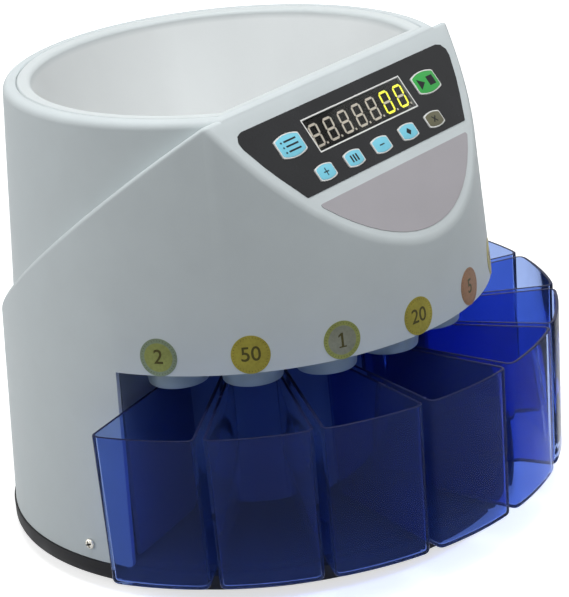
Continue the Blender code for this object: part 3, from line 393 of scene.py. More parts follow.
# Painted sheen and shade: upright bands round the bowl, lighter and darker by bearing, stand in for
# reflections and side light
sheen_stops = [(-180, 0.93), (-10, 0.94), (7, 0.98), (24, 1.0), (36, 0.985), (47, 1.0), (55, 1.0),
         (64, 0.93), (85, 0.85), (115, 0.80), (145, 0.85), (180, 0.93)]
for k, (degrees, level) in enumerate(sheen_stops):
    stop = sheen_streaks.color_ramp.elements[k] if k < 2 else sheen_streaks.color_ramp.elements.new(1.0)
    stop.position, stop.color = degrees / 360 + 0.5, (level, level, level, 1)
painted = add_node(tree, "Mix", [("Factor", 1.0), ("A", (0.93, 0.965, 0.97, 1))], blend="MULTIPLY")
# Painted shade: the top of the lip turns a darker grey to damp its highlight
lip_shade_mask = ranged(tree, top_z - 0.0055, top_z - 0.0015)
lip_shade_mix = add_node(tree, "Mix", [("B", (0.61, 0.66, 0.67, 1))], blend="MIX")
for start, end in ((where.outputs["Object"], parts.inputs[0]),
                   (parts.outputs["Y"], from_axis.inputs[0]),
                   (from_axis.outputs["Value"], bearing.inputs[0]),
                   (parts.outputs["X"], bearing.inputs[1]),
                   (bearing.outputs["Value"], turn_share.inputs["Value"]),
                   (turn_share.outputs["Result"], sheen_streaks.inputs["Fac"]),
                   (sheen_streaks.outputs["Color"], painted.inputs["B"]),
                   (parts.outputs["Z"], lip_shade_mask.inputs["Value"]),
                   (lip_shade_mask.outputs["Result"], lip_shade_mix.inputs["Factor"]),
                   (painted.outputs["Result"], lip_shade_mix.inputs["A"]),
                   (lip_shade_mix.outputs["Result"], tree.nodes["cloudy_colour"].inputs["A"])):
    tree.links.new(start, end)


def funnel(z):
    """Inner radius of the hopper at height z."""
    return mouth_r - funnel_slope * (top_z - lip_r - z)


flange_z = top_z - 0.0042
funnel_body = turned([(0, top_z), (seam_r - 0.0011, top_z), (seam_r - 0.0003, top_z - 0.0008),
                      (seam_r - 0.0003, flange_z), (funnel(flange_z) + bowl_wall, flange_z),
                      (funnel(funnel_low) + bowl_wall, funnel_low), (0, funnel_low)], 144, False)
front_y = axis_y + ridge_y + 0.0043
sliced(funnel_body, (0, front_y, 0), (0, -1, 0))
roll = [math.radians(90 + 90 * k / 10) for k in range(11)]
cavity_high, cavity_low, cavity_r = 0.30, 0.17, mouth_r + lip_r + 0.0006
cavity = [(0, cavity_high), (cavity_r, cavity_high), (cavity_r, top_z + 0.0002)]
cavity += [(mouth_r + lip_r + lip_r * math.cos(a), top_z - lip_r + lip_r * math.sin(a))
           for a in roll]
cavity += [(funnel(cavity_low), cavity_low), (0, cavity_low)]
inside = turned(cavity, 144, False)
sliced(inside, (0, front_y + bowl_wall, 0), (0, -1, 0))
inside.normal_update()
creases = [e for e in inside.edges if e.calc_face_angle(0) > 0.3
           and all(abs(v.co.y - front_y - bowl_wall) < 1e-5 for v in e.verts)
           and abs(e.verts[0].co.z - e.verts[1].co.z) > 0.03]
rounded(inside, creases, 0.010, 8, clamp=True)
piece("hopper_insert", carved(funnel_body, [inside]), hopper_pale,
      stands_for=["hopper_bowl"])


# Hub, bay walls and deck
# Behind the cups stands a round wall that hides the drive. Two flat walls end the cup
# bay, and a level deck with eight holes closes it from above. Their grey is darker than the
# case's: painted shade for the dim bay.
# Painted shade: a grey darker than the case's, for the dim bay behind the cups
bay_shade_grey = moulded("bay_shade_grey", (0.23, 0.255, 0.265), 0.45, 0.0006, 0.00003, 0.05)
hub_low, hub_high, hub_out, hub_in, hub_edge = floor_z + fit, lip_z, 0.070, 0.0675, 0.0006
hub = turned([(hub_out - hub_edge, hub_high), (hub_out, hub_high - hub_edge), (hub_out, hub_low),
              (hub_in, hub_low), (hub_in, hub_high)], 144)
piece("hub_shell", hub, bay_shade_grey, stands_for=["hub_wall"])
for node in ("bay_side_left", "bay_side_right", "chute_deck"):
    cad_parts[node].material_slots[0].material = bay_shade_grey


# Chutes
# Eight slanting tubes in smooth grey plastic carry the coins from the graded holes out
# to round collars over the cups. Each is pressed into its hole in the deck.
chute_plastic = moulded("chute_plastic", (0.36, 0.42, 0.385), 0.36, 0.0009, 0.00002, 0.04)
cup_pitch, coin_ring, chute_ring, chute_wall = 20.31, 0.092, 0.116, 0.0015
rings = ((0.0163, chute_ring, 0.1187), (0.0166, chute_ring, 0.1192), (0.0187, chute_ring, 0.1335),
         (0.0150, coin_ring, 0.1647), (0.0150, coin_ring, 0.1707))
for i in range(8):
    tube = bmesh.new()
    loops = []
    for r, reach, z in rings:
        loops += bmesh.ops.create_circle(tube, segments=64, radius=r,
                                         matrix=Matrix.Translation((0, -reach, z)))["verts"]
    bmesh.ops.bridge_loops(tube, edges=tube.edges[:])
    bmesh.ops.recalc_face_normals(tube, faces=tube.faces)
    tube.normal_update()
    side = max(tube.faces, key=lambda f: f.calc_center_median().x)
    if side.normal.x < 0:
        bmesh.ops.reverse_faces(tube, faces=tube.faces)
    bmesh.ops.transform(tube, matrix=upright(cup_pitch * (i - 3.5)), verts=tube.verts)
    obj = piece(f"chute_tube_{i + 1}", tube, chute_plastic,
                stands_for=[f"chute_{i + 1}"], sharp=50)
    mod = obj.modifiers.new("wall", "SOLIDIFY")
    mod.thickness = chute_wall
    mod.offset = -1


# Cups
# Eight cups in clear blue polystyrene, moulded with a draft, rounded corners and an even
# wall. The cut edge of the wall is painted darker, painted shade for the light that passes
# along the plastic there.
cup_edge_shade = moulded("cup_rim_painted_shade", (0.012, 0.016, 0.060), 0.25, 0.002, 0.0, 0.1, spread=0.04,
                   shine=0.08)
cup_blue = moulded("cup_clear_blue", (0.335, 0.45, 0.80), 0.04, 0.004, 0.0, 0.03, spread=0.02)
tree = cup_blue.node_tree
clear = tree.nodes["Principled BSDF"]
clear.inputs["Transmission Weight"].default_value = 0.97
clear.inputs["IOR"].default_value = 1.08
clear.inputs["Specular Tint"].default_value = (0.75, 0.55, 0.9, 1)
light_through = add_node(tree, "BsdfTransparent", [("Color", (0.53, 0.64, 0.85, 1))])
either, ray = add_node(tree, "MixShader"), add_node(tree, "LightPath")
tree.links.new(ray.outputs["Is Shadow Ray"], either.inputs["Fac"])
tree.links.new(clear.outputs["BSDF"], either.inputs[1])
tree.links.new(light_through.outputs["BSDF"], either.inputs[2])
tree.links.new(either.outputs["Shader"], tree.nodes["Material Output"].inputs["Surface"])
cup_low, cup_high, cup_wall = floor_z + fit, 0.1089, 0.0020
low_half, high_half = 9.37, 9.54
low_r, high_r, back_low, back_high = 0.1773, 0.180, 0.0777, 0.0765
back_soft, low_soft, high_soft, base_soft, rim_soft = 0.0040, 0.0045, 0.0050, 0.0033, 0.0005


def cup_section(bm, near, far, half, z, soft):
    """The level outline of a cup, a sector with rounded corners; gives its edges."""
    def level(thing):
        return all(abs(v.co.z - z) < 1e-6 for v in thing.verts)
    line = [bm.verts.new((0, -r, z)) for r in (near, far)]
    line.append(bm.edges.new(line))
    bmesh.ops.rotate(bm, verts=line[:2], matrix=Matrix.Rotation(math.radians(-half), 3, "Z"))
    bmesh.ops.spin(bm, geom=line, cent=(0, 0, 0), axis=(0, 0, 1), angle=math.radians(2 * half),
                   steps=5)
    bmesh.ops.dissolve_edges(bm, edges=[e for e in bm.edges if len(e.link_faces) == 2 and level(e)])
    for r, offset in ((near, back_soft), (far, soft)):
        face = next(f for f in bm.faces if level(f))
        corners = [v for v in face.verts if abs(v.co.xy.length - r) < 0.0002
                   and abs(abs(math.degrees(math.atan2(v.co.x, -v.co.y))) - half) < 0.01]
        rounded(bm, corners, offset, 8, "VERTICES")
    face = next(f for f in bm.faces if level(f))
    front = [e for e in face.edges if e.calc_length() > 0.004
             and all(v.co.xy.length > far - 0.0006 for v in e.verts)]
    for v in bmesh.ops.subdivide_edges(bm, edges=front, cuts=3)["geom_inner"]:
        if isinstance(v, bmesh.types.BMVert):
            v.co.xy *= far / v.co.xy.length
    return next(f for f in bm.faces if level(f)).edges[:]


for i in range(8):
    cup = bmesh.new()
    loops = cup_section(cup, back_low, low_r, low_half, cup_low, low_soft)
    loops += cup_section(cup, back_high, high_r, high_half, cup_high, high_soft)
    tops = [f for f in cup.faces if f.calc_center_median().z > cup_high - 1e-5]
    bmesh.ops.delete(cup, geom=tops, context="FACES_ONLY")
    bmesh.ops.bridge_loops(cup, edges=loops)
    bmesh.ops.recalc_face_normals(cup, faces=cup.faces)
    base = min(cup.faces, key=lambda f: f.calc_center_median().z)
    base.normal_update()
    if base.normal.z > 0:
        bmesh.ops.reverse_faces(cup, faces=cup.faces)
    rounded(cup, base.edges[:], base_soft, 6)
    bmesh.ops.transform(cup, matrix=upright(cup_pitch * (i - 3.5)), verts=cup.verts)
    obj = piece(f"coin_cup_{i + 1}", cup, cup_blue, f"cup_{i + 1}_body",
                [f"cup_{i + 1}"], sharp=50)
    obj.data.materials.append(cup_edge_shade)
    mod = obj.modifiers.new("wall", "SOLIDIFY")
    mod.thickness = cup_wall
    mod.offset = -1
    mod.use_even_offset = True
    # The rim faces of the wall take the cut edge's painted shade
    mod.material_offset_rim = 1
    mod = obj.modifiers.new("rim", "BEVEL")
    mod.width = rim_soft
    mod.segments = 2
    mod.angle_limit = math.radians(60)


# Rotor, track and drive
# A black disc with coin pockets turns under the hopper. Below it lie the plate with its
# graded holes, the shaft in brass bearings, the nylon gear and the geared motor.
rotor_black = moulded("rotor_black", (0.022, 0.022, 0.024), 0.38, 0.0009, 0.00003, 0.25)
steel = moulded("worked_steel", (0.60, 0.60, 0.58), 0.30, 0.0004, 0.00001, 0.08, 1.0)
rolled_aluminium = moulded("rolled_aluminium", (0.70, 0.71, 0.72), 0.34, 0.0005, 0.00001, 0.06,
                           1.0)
turned_brass = moulded("turned_brass", (0.72, 0.52, 0.22), 0.28, 0.0004, 0.00001, 0.08, 1.0)
gear_white = moulded("gear_white", (0.75, 0.73, 0.66), 0.48, 0.0008, 0.00002, 0.05)
board_green = moulded("board_green", (0.02, 0.16, 0.07), 0.42, 0.0006, 0.00002, 0.15)
disc_low, disc_high, cone_high, disc_r = 0.1733, 0.1798, 0.1918, 0.110
bore_r, pocket_r, cover_r, cover_thick = 0.0043, 0.0145, 0.1279, 0.002
disc = turned([(0.016, cone_high), (0.030, 0.1892), (0.046, 0.1846), (0.058, 0.1803),
               (0.061, disc_high), (disc_r - 0.0005, disc_high), (disc_r, disc_high - 0.0005),
               (disc_r, disc_low), (bore_r, disc_low), (bore_r, cone_high)], 144)
pockets = []
for k in range(10):
    turn = math.tau * k / 10
    pockets.append(turned([(0, 0.2), (pocket_r, 0.2), (pocket_r, 0.15), (0, 0.15)], 48, False,
                          (coin_ring * math.sin(turn), axis_y - coin_ring * math.cos(turn))))
piece("pocket_disc", carved(disc, pockets), rotor_black, "rotor", ["coin_rotor"])
cap = turned([(0, 0.1991), (0.0055, 0.1990), (0.0072, 0.1986), (0.0080, 0.1979), (0.0111, 0.1932),
              (0.0119, 0.1928), (0.012, 0.1921), (0, 0.1921)], 64, False)
piece("centre_cap", cap, steel, "rotor", ["rotor_cap"])
cover_z = funnel_low - 0.0023
cover = turned([(cover_r, cover_z + cover_thick), (cover_r, cover_z), (funnel(funnel_low), cover_z),
                (funnel(funnel_low), cover_z + cover_thick)], 144)
piece("track_lid", cover, rolled_aluminium, stands_for=["track_cover"])
for node, finish in (("sorting_plate", rolled_aluminium), ("track_ring", rotor_black),
                     ("main_shaft", steel), ("drive_gear", gear_white),
                     ("upper_bearing", turned_brass), ("lower_bearing", turned_brass),
                     ("motor_plate", steel), ("gear_motor", steel), ("motor_pinion", turned_brass),
                     ("control_board", board_green), ("power_board", board_green),
                     ("transformer", steel)):
    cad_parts[node].material_slots[0].material = finish


# Panel films
# A glossy black printed film carries the keys and the display, and a satin plate in
# violet grey closes the lower curve. Both are glued into shallow recesses.
film_black = moulded("film_black", (0.010, 0.011, 0.013), 0.22, 0.002, 0.000004, 0.25, shine=0.25)
plate_satin = moulded("plate_satin", (0.375, 0.36, 0.385), 0.36, 0.0004, 0.000008, 0.03)
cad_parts["panel_overlay"].material_slots[0].material = film_black
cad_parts["lower_plate"].material_slots[0].material = plate_satin


# Display
# Seven slanting digits of a light-emitting module stand behind a smoked window in a
# white printed frame. The last two are lit, and the others show their unlit bars, which
# glow faintly: painted light in place of the lamplight that reaches them through the window.
film_z, window_thick = 0.0003, 0.0013
smoked = moulded("smoked_window", (0.72, 0.72, 0.70), 0.02, 0.004, 0.0, 0.02, spread=0.01)
glazing = smoked.node_tree.nodes["Principled BSDF"]
glazing.inputs["Transmission Weight"].default_value = 1.0
glazing.inputs["IOR"].default_value = 1.2
pane = block((fit - window_w / 2, fit - window_row - window_h / 2, film_z - window_thick),
             (window_w / 2 - fit, window_h / 2 - window_row - fit, film_z))
rounded(pane, pane.edges[:], 0.0001, 2)
bmesh.ops.transform(pane, matrix=panel_place, verts=pane.verts)
piece("smoked_pane", pane, smoked, stands_for=["display_window"])
module_black = moulded("module_black", (0.006, 0.006, 0.006), 0.7, 0.001, 0.000005, 0.2, shine=0.1)
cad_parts["display_module"].material_slots[0].material = module_black
digit_w, digit_h, stroke, gap, lean = 0.0080, 0.0135, 0.0013, 0.0002, 0.17
digit_pitch, digit_first, digit_row = 0.0131, -0.0395, 0.0292
bar_low, bar_high, dot_size = -0.00125, -0.00115, 0.0012
frame_width, frame_thick, frame_grow, frame_lift = 0.0008, 0.00006, 0.0002, 0.00004


def slab(bm, corners, low, high):
    """Raise a flat outline of a few corners between two heights of the panel."""
    raised(bm, [bm.faces.new([bm.verts.new((x, y, low)) for x, y in corners])], high - low)


def oblong(x, y, w, h):
    """The four corners of a flat rectangle round its middle."""
    return [(x - w / 2, y - h / 2), (x + w / 2, y - h / 2), (x + w / 2, y + h / 2),
            (x - w / 2, y + h / 2)]


def on_panel(bm):
    """Turn a mesh drawn in the panel's plane into its place on the machine."""
    bmesh.ops.recalc_face_normals(bm, faces=bm.faces)
    bmesh.ops.transform(bm, matrix=panel_place, verts=bm.verts)
    return bm


def bar(bm, digit, start, end):
    """One pointed bar of a digit from start to end, in digit units."""
    s, e = Vector(start), Vector(end)
    along = (e - s).normalized()
    side = Vector((-along.y, along.x)) * (stroke / 2)
    s, e = s + along * gap, e - along * gap
    tip = along * (stroke / 2)
    ring = [s, s + tip + side, e - tip + side, e, e - tip - side, s + tip - side]
    x0 = digit_first + digit * digit_pitch
    slab(bm, [(x0 + p.x + lean * p.y, p.y - digit_row) for p in ring], bar_low, bar_high)


def glowing(name, colour, strength):
    """A bar of the display that glows through the window: its own light when lit, a painted glow
    when unlit.
    """
    mat = moulded(name, colour, 0.5, 0.001, 0.000004, 0.06)
    shader = mat.node_tree.nodes["Principled BSDF"]
    shader.inputs["Emission Color"].default_value = (*colour, 1)
    shader.inputs["Emission Strength"].default_value = strength
    return mat


w, h = digit_w / 2 - stroke / 2, digit_h / 2 - stroke / 2
bars = {"top": ((-w, h), (w, h)), "middle": ((-w, 0), (w, 0)), "bottom": ((-w, -h), (w, -h)),
        "left_high": ((-w, 0), (-w, h)), "left_low": ((-w, -h), (-w, 0)),
        "right_high": ((w, 0), (w, h)), "right_low": ((w, -h), (w, 0))}
lit, unlit = bmesh.new(), bmesh.new()
for digit in range(7):
    for label, (start, end) in bars.items():
        bar(lit if digit > 4 and label != "middle" else unlit, digit, start, end)
    x0, y0 = digit_first + digit * digit_pitch + w + dot_size, -digit_row - h
    slab(unlit, oblong(x0, y0, dot_size, dot_size), bar_low, bar_high)
piece("digits_lit", on_panel(lit), glowing("lit_bar", (0.93, 0.93, 0.05), 1.1))
# The unlit bars glow faintly: painted light in place of the lamplight through the window
piece("digits_unlit", on_panel(unlit), glowing("unlit_bar_painted_glow", (0.52, 0.48, 0.42), 0.55))
print_white = moulded("print_white", (0.78, 0.79, 0.77), 0.35, 0.001, 0.000004, 0.03)
border = bmesh.new()
w, h = window_w / 2 + frame_grow, window_h / 2 + frame_grow
face = border.faces.new([border.verts.new((x, y - window_row, film_z + frame_lift))
                         for x, y in ((-w, -h), (w, -h), (w, h), (-w, h))])
border.normal_update()
bmesh.ops.inset_region(border, faces=[face], thickness=frame_width, use_boundary=True,
                       use_even_offset=True)
bmesh.ops.delete(border, geom=[face], context="FACES_ONLY")
raised(border, border.faces[:], frame_thick)
piece("window_border", on_panel(border), print_white)


# Keys
# Seven moulded keys stand just proud of the black film. Each is a coloured cap with straight
# ends and a bulging top and bottom, a thin pale collar round it and a plain dark sign.
key_finish = {"left": "key_cyan", "start": "key_green", "row_5": "key_olive"}
key_paint = {}
for name, colour, mottle in (("key_cyan", (0.20, 0.62, 0.78), 0.03),
                             ("key_green", (0.018, 0.36, 0.050), 0.05),
                             ("key_olive", (0.105, 0.10, 0.05), 0.08)):
    key_paint[name] = moulded(f"{name}_top", colour, 0.34, 0.0008, 0.00001, mottle)
sign_ink = moulded("sign_ink", (0.006, 0.007, 0.010), 0.4, 0.0008, 0.000004, 0.2, shine=0.2)
key_low, key_high, key_soft, corner_soft, key_bulge = -0.005, 0.0009, 0.0003, 0.0008, 0.135
cap_inset, cap_proud, well_inset, sign_half = 0.0007, 0.0001, 0.00065, 0.00005
sign_bars = {"left": [(x, y, w, 0.0010) for y in (0.003, 0, -0.003)
                      for x, w in ((0.0012, 0.0105), (-0.0062, 0.0012))],
             "start": [(0.0044, 0, 0.0058, 0.0058)],
             "row_1": [(0, 0, 0.0042, 0.0007), (0, 0.00135, 0.0007, 0.002),
                       (0, -0.00135, 0.0007, 0.002)],
             "row_2": [(x, 0, 0.0013, 0.0042) for x in (-0.0024, 0, 0.0024)],
             "row_3": [(0, 0, 0.0042, 0.0007)],
             "row_5": [(0, 0, 0.0046, 0.0008), (0, 0.00145, 0.0008, 0.0021),
                       (0, -0.00145, 0.0008, 0.0021)]}
sign_outlines = {"start": [[(-0.0072, -0.0034), (-0.0014, 0), (-0.0072, 0.0034)]],
                 "row_4": [[(-0.0022, 0), (0, 0.0022), (0.0022, 0), (0, -0.0022)]]}


def key_body(bm, w, h, inset, high):
    """A key's outline moved in by an inset, raised to a height and softened on top."""
    w, h, bulge = w / 2 - inset, h / 2 - inset, h * key_bulge
    upper = [(w * k / 12, h - bulge * (k / 12) ** 2) for k in range(-12, 13)]
    ring = [bm.verts.new((x, y, key_low)) for x, y in upper[::-1]]
    ring += [bm.verts.new((-x, -y, key_low)) for x, y in upper[::-1]]
    bm.faces.new(ring)
    corners = [v for v in ring if abs(abs(v.co.x) - w) < 1e-7]
    rounded(bm, corners, corner_soft, 4, "VERTICES")
    raised(bm, bm.faces[:], high - key_low)
    top = max(bm.faces, key=lambda f: f.calc_center_median().z)
    bmesh.ops.recalc_face_normals(bm, faces=bm.faces)
    rounded(bm, top.edges[:], key_soft, 3)


def key_sign(bm, label):
    """The plain sign on a key, drawn from a few small outlines and bars."""
    z = key_high + cap_proud
    turn = Matrix.Rotation(math.radians(45 if label == "row_5" else 0), 2)
    rings = sign_outlines.get(label, []) + [oblong(*bar) for bar in sign_bars.get(label, [])]
    for ring in rings:
        slab(bm, [turn @ Vector(p) for p in ring], z - sign_half, z + sign_half)


for label, x, row, w, h in key_rows:
    seat = Matrix.Translation((x, -row, 0))
    finish = key_finish.get(label, "key_cyan")
    body = f"key_{label}_body"
    cap, collar, well, sign = bmesh.new(), bmesh.new(), bmesh.new(), bmesh.new()
    key_body(cap, w, h, cap_inset, key_high + cap_proud)
    key_body(collar, w, h, 0, key_high)
    key_body(well, w, h, well_inset, key_high + 0.002)
    bmesh.ops.translate(well, verts=well.verts, vec=(0, 0, 0.0005))
    collar = carved(collar, [well])
    key_sign(sign, label)
    for bm in (cap, collar, sign):
        bmesh.ops.transform(bm, matrix=seat, verts=bm.verts)
    piece(f"{label}_key_cap", on_panel(cap), key_paint[finish], body)
    piece(f"{label}_key_collar", on_panel(collar), print_white, body, [f"key_{label}"])
    piece(f"{label}_key_sign", on_panel(sign), sign_ink, body)


# Coin signs
# Eight round printed stickers on the lip of the skirt show the order of the cups. Each
# is a plain disc in a coin's colours with a ring of short ticks and a number.
coin_z, coin_r, field_share = 0.14079, 0.0106, 0.76
coin_rows = (("2", "pale", "lime"), ("50", "gold", "gold"), ("1", "lime", "silver"),
             ("20", "gold", "gold"), ("5", "copper", "copper"), ("10", "gold", "gold"),
             ("2", "copper", "copper"), ("1", "copper", "copper"))
coin_paint = {}
for name, colour, mottle in (("pale", (0.24, 0.30, 0.20), 0.25), ("lime", (0.30, 0.33, 0.10), 0.30),
                             ("gold", (0.37, 0.32, 0.052), 0.30),
                             ("silver", (0.26, 0.27, 0.205), 0.30),
                             ("copper", (0.31, 0.155, 0.075), 0.30)):
    coin_paint[name] = moulded(f"coin_{name}", colour, 0.34, 0.0016, 0.00004, mottle, shine=0.12)
coin_ink = moulded("coin_ink", (0.075, 0.065, 0.018), 0.40, 0.0010, 0.00001, 0.2, shine=0.12)
tick_r, tick_long, tick_wide, number_high = 0.0094, 0.0008, 0.0002, 0.0082
disc_thick, print_thick, tick_thick = 0.00015, 0.00006, 0.00003
disc_lift, print_lift, number_lift = 0.00002, 0.00016, 0.00024


def wrapped(bm, degrees, lift):
    """Bend a mesh drawn flat round the skirt at the coin row, standing out by a lift."""
    bmesh.ops.recalc_face_normals(bm, faces=bm.faces)
    for v in bm.verts:
        z = coin_z + v.co.y
        r = skirt(z) + lift + v.co.z
        turn = math.radians(degrees) + v.co.x / skirt(coin_z)
        v.co = (r * math.sin(turn), axis_y - r * math.cos(turn), z)
    return bm


def disc_mesh(outer, thick):
    """A flat round disc of fine squares, ready to be bent."""
    bm = bmesh.new()
    bmesh.ops.create_grid(bm, x_segments=26, y_segments=26, size=outer * 1.05)
    for k in range(64):
        turn = math.tau * k / 64
        out = Vector((math.cos(turn), math.sin(turn), 0))
        bmesh.ops.bisect_plane(bm, geom=bm.verts[:] + bm.edges[:] + bm.faces[:],
                               dist=1e-7, plane_co=out * outer, plane_no=out, clear_outer=True)
    raised(bm, bm.faces[:], thick)
    return bm


def number_mesh(text, height, thick):
    """The outline of a plain number as a thin closed mesh, centred on zero."""
    curve = bpy.data.curves.new("number", "FONT")
    curve.body = text.replace("1", "")
    curve.size = height * 1.38
    curve.align_x, curve.align_y = "CENTER", "CENTER"
    curve.extrude = thick / 2
    curve.offset = 0.0001
    obj = shown("number", curve)
    bpy.context.view_layer.update()
    graph = bpy.context.evaluated_depsgraph_get()
    mesh = bpy.data.meshes.new_from_object(obj.evaluated_get(graph))
    bpy.data.objects.remove(obj)
    bm = bmesh.new()
    bm.from_mesh(mesh)
    bpy.data.meshes.remove(mesh)
    if "1" in text:
        side = height * 0.28 if len(text) > 1 else 0
        bmesh.ops.translate(bm, verts=bm.verts, vec=(side, 0, 0))
        slab(bm, [(x * height - side * 1.2, y * height) for x, y in (
            (-0.26, -0.5), (0.26, -0.5), (0.26, -0.41), (0.08, -0.41), (0.08, 0.5), (-0.05, 0.5),
            (-0.26, 0.34), (-0.26, 0.22), (-0.08, 0.32), (-0.08, -0.41), (-0.26, -0.41))],
            -thick / 2, thick / 2)
    bmesh.ops.remove_doubles(bm, verts=bm.verts, dist=1e-7)
    for k in range(-5, 6):
        bmesh.ops.bisect_plane(bm, geom=bm.verts[:] + bm.edges[:] + bm.faces[:], dist=1e-7,
                               plane_co=(k * 0.002, 0, 0), plane_no=(1, 0, 0))
    return bm


for i, (number, outer_paint, inner_paint) in enumerate(coin_rows):
    degrees = cup_pitch * (i - 3.5)
    disc, field = disc_mesh(coin_r, disc_thick), disc_mesh(coin_r * field_share, print_thick)
    piece(f"coin_disc_{i + 1}", wrapped(disc, degrees, disc_lift), coin_paint[outer_paint])
    piece(f"coin_field_{i + 1}", wrapped(field, degrees, print_lift), coin_paint[inner_paint])
    ticks = bmesh.new()
    for k in range(36):
        turn = Matrix.Rotation(math.tau * k / 36, 2)
        slab(ticks, [turn @ Vector(p) for p in oblong(tick_r, 0, tick_long, tick_wide)], 0,
             tick_thick)
    piece(f"coin_ticks_{i + 1}", wrapped(ticks, degrees, print_lift), coin_ink)
    digits = number_mesh(number, number_high, print_thick)
    piece(f"coin_number_{i + 1}", wrapped(digits, degrees, number_lift), coin_ink)


# Case screws
# One nickelled cross-head screw on each side pulls the case down on the pan's bosses. A
# thin dark cross on the ground of its slot is painted shade for the shade in the slot's depth.
nickel = moulded("nickel", (0.78, 0.75, 0.66), 0.30, 0.0006, 0.00001, 0.08, 0.6)
screw_z, head_r, shank_r, screw_turn = 0.0253, 0.0030, 0.0015, math.radians(20)
cut_long, cut_half, arm, half = 0.0020, 0.00055, 0.0019, 0.00050
for label, side in (("left", -1), ("right", 1)):
    seat = skirt(screw_z) + fit
    head = turned([(0, seat + 0.0016), (0.0012, seat + 0.00155), (0.0021, seat + 0.0013),
                   (0.0028, seat + 0.0008), (head_r, seat + 0.0003), (head_r, seat),
                   (shank_r, seat), (shank_r, seat - 0.009), (0, seat - 0.009)], 48, False, (0, 0))
    deep, tall = seat + 0.0002, seat + 0.01
    head = carved(head, [block((-cut_half, -cut_long, deep), (cut_half, cut_long, tall)),
                         block((-cut_long, -cut_half, deep), (cut_long, cut_half, tall))])
    out = (upright(side * 93.0) @ Matrix.Translation((0, 0, screw_z))
           @ Matrix.Rotation(math.pi / 2, 4, "X") @ Matrix.Rotation(screw_turn, 4, "Z"))
    bmesh.ops.transform(head, matrix=out, verts=head.verts)
    piece(f"{label}_case_screw", head, nickel, stands_for=[f"case_screw_{label}"])
    # Painted shade: a thin black cross on the ground of the slot, for the shade in its depth
    slot_shade = bmesh.new()
    slab(slot_shade, [(arm, -half), (arm, half), (half, half), (half, arm), (-half, arm),
                     (-half, half), (-arm, half), (-arm, -half), (-half, -half), (-half, -arm),
                     (half, -arm), (half, -half)], seat + 0.0001, seat + 0.0005)
    bmesh.ops.recalc_face_normals(slot_shade, faces=slot_shade.faces)
    bmesh.ops.transform(slot_shade, matrix=out, verts=slot_shade.verts)
    piece(f"{label}_case_screw_slot_shade", slot_shade, grained_black)


# Inlet and switch
# The mains inlet and the rocker switch are black fittings that snap into the flat at the
# back of the case.
for node in ("power_inlet", "switch_bezel", "power_rocker"):
    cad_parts[node].material_slots[0].material = grained_black


# Floor, backdrop and light
# A plain white floor that keeps a soft shadow and shines more further out, a white
# surround for the camera, for reflections and through clear parts, one broad lamp
# overhead and three paler ones.
def studio_white(tree, output, surface, white):
    """Show pure white to the camera, to gloss and through clear parts."""
    path, mix = add_node(tree, "LightPath"), add_node(tree, "MixShader")
    seen = add_node(tree, "Math", operation="MAXIMUM")
    also = add_node(tree, "Math", operation="MAXIMUM")
    tree.links.new(path.outputs["Is Camera Ray"], seen.inputs[0])
    tree.links.new(path.outputs["Is Glossy Ray"], seen.inputs[1])
    tree.links.new(seen.outputs["Value"], also.inputs[0])
    tree.links.new(path.outputs["Is Transmission Ray"], also.inputs[1])
    tree.links.new(also.outputs["Value"], mix.inputs["Fac"])
    tree.links.new(surface, mix.inputs[1])
    tree.links.new(white, mix.inputs[2])
    tree.links.new(mix.outputs["Shader"], output)


world = bpy.data.worlds.new("studio")
bpy.context.scene.world = world
world.use_nodes = True
tree = world.node_tree
tree.nodes.clear()
out = add_node(tree, "OutputWorld")
ambient = add_node(tree, "Background", [("Color", (0.95, 0.98, 1.0, 1)), ("Strength", 0.12)])
white = add_node(tree, "Background", [("Color", (1, 1, 1, 1))])
studio_white(tree, out.inputs["Surface"], ambient.outputs["Background"],
             white.outputs["Background"])
floor = bmesh.new()
bmesh.ops.create_grid(floor, x_segments=2, y_segments=2, size=6.0)
mesh = mesh_of("floor", floor)
ground = shown("floor", mesh)
paper = bpy.data.materials.new("floor_paper")
paper.use_nodes = True
tree = paper.node_tree
tree.nodes.clear()
out = add_node(tree, "OutputMaterial")
matt = add_node(tree, "BsdfDiffuse", [("Color", (0.42, 0.43, 0.44, 1))])
pale = add_node(tree, "BsdfDiffuse", [("Color", (0.80, 0.80, 0.80, 1))])
where, path = add_node(tree, "TexCoord"), add_node(tree, "LightPath")
far_off = add_node(tree, "VectorMath", operation="LENGTH")
more = ranged(tree, 0.5, 1.5, 0.43, 0.85)
level = add_node(tree, "Math", [(1, 0.25)], "MULTIPLY_ADD")
glow, lifted = add_node(tree, "Emission"), add_node(tree, "AddShader")
tree.links.new(where.outputs["Object"], far_off.inputs[0])
tree.links.new(far_off.outputs["Value"], more.inputs["Value"])
tree.links.new(path.outputs["Is Camera Ray"], level.inputs[0])
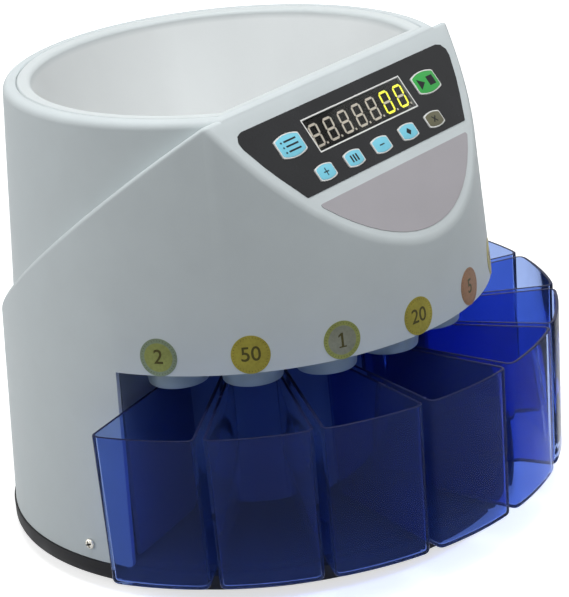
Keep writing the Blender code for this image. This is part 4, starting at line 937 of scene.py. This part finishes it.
tree.links.new(more.outputs["Result"], level.inputs[2])
tree.links.new(level.outputs["Value"], glow.inputs["Strength"])
tree.links.new(pale.outputs["BSDF"], lifted.inputs[0])
tree.links.new(glow.outputs["Emission"], lifted.inputs[1])
studio_white(tree, out.inputs["Surface"], matt.outputs["BSDF"], lifted.outputs["Shader"])
mesh.materials.append(paper)
ground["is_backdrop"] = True


def lamp(name, place, target, size, power):
    """A soft square lamp aimed at a point."""
    data = bpy.data.lights.new(name, "AREA")
    data.energy = power
    data.shape = "SQUARE"
    data.size = size
    obj = shown(name, data)
    obj.location = place
    obj.rotation_euler = (Vector(target) - Vector(place)).to_track_quat("-Z", "Y").to_euler()


lamp("lamp_top", (0.0, -0.15, 1.40), (0, 0, 0.15), 1.1, 15.0)
lamp("lamp_back", (-0.9, 1.15, 0.55), (0, 0, 0.15), 0.8, 6.5)
lamp("lamp_left", (-1.2, -0.1, 1.10), (0, 0, 0.15), 0.8, 2.6)
lamp("lamp_front", (0.1, -1.2, 1.30), (0, 0, 0.15), 0.8, 3.9)


# Camera
# The photograph's own viewpoint, fitted to the rim, the skirt and the cups, with its
# small roll. Light passes through many walls of the cups, so it may bounce often.
eye, aim = Vector((-1.097876, -0.899090, 0.638556)), Vector((0.033890, 0.015285, 0.109350))
roll = -5.3673
forward = (aim - eye).normalized()
right = forward.cross(Vector((0, 0, 1))).normalized()
up = right.cross(forward)
c, s = math.cos(math.radians(roll)), math.sin(math.radians(roll))
right, up = c * right + s * up, c * up - s * right
camera = bpy.data.cameras.new("camera")
camera.lens = 157.08
camera.sensor_width = 36.0
camera.clip_start, camera.clip_end = 0.05, 50.0
viewer = shown("camera", camera)
seat = Matrix((right, up, -forward)).transposed().to_4x4()
seat.translation = eye
viewer.matrix_world = seat
bpy.context.scene.camera = viewer
bpy.context.scene.view_settings.view_transform = "Standard"
cycles = bpy.context.scene.cycles
cycles.max_bounces = cycles.transmission_bounces = cycles.transparent_max_bounces = 32

low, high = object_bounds()
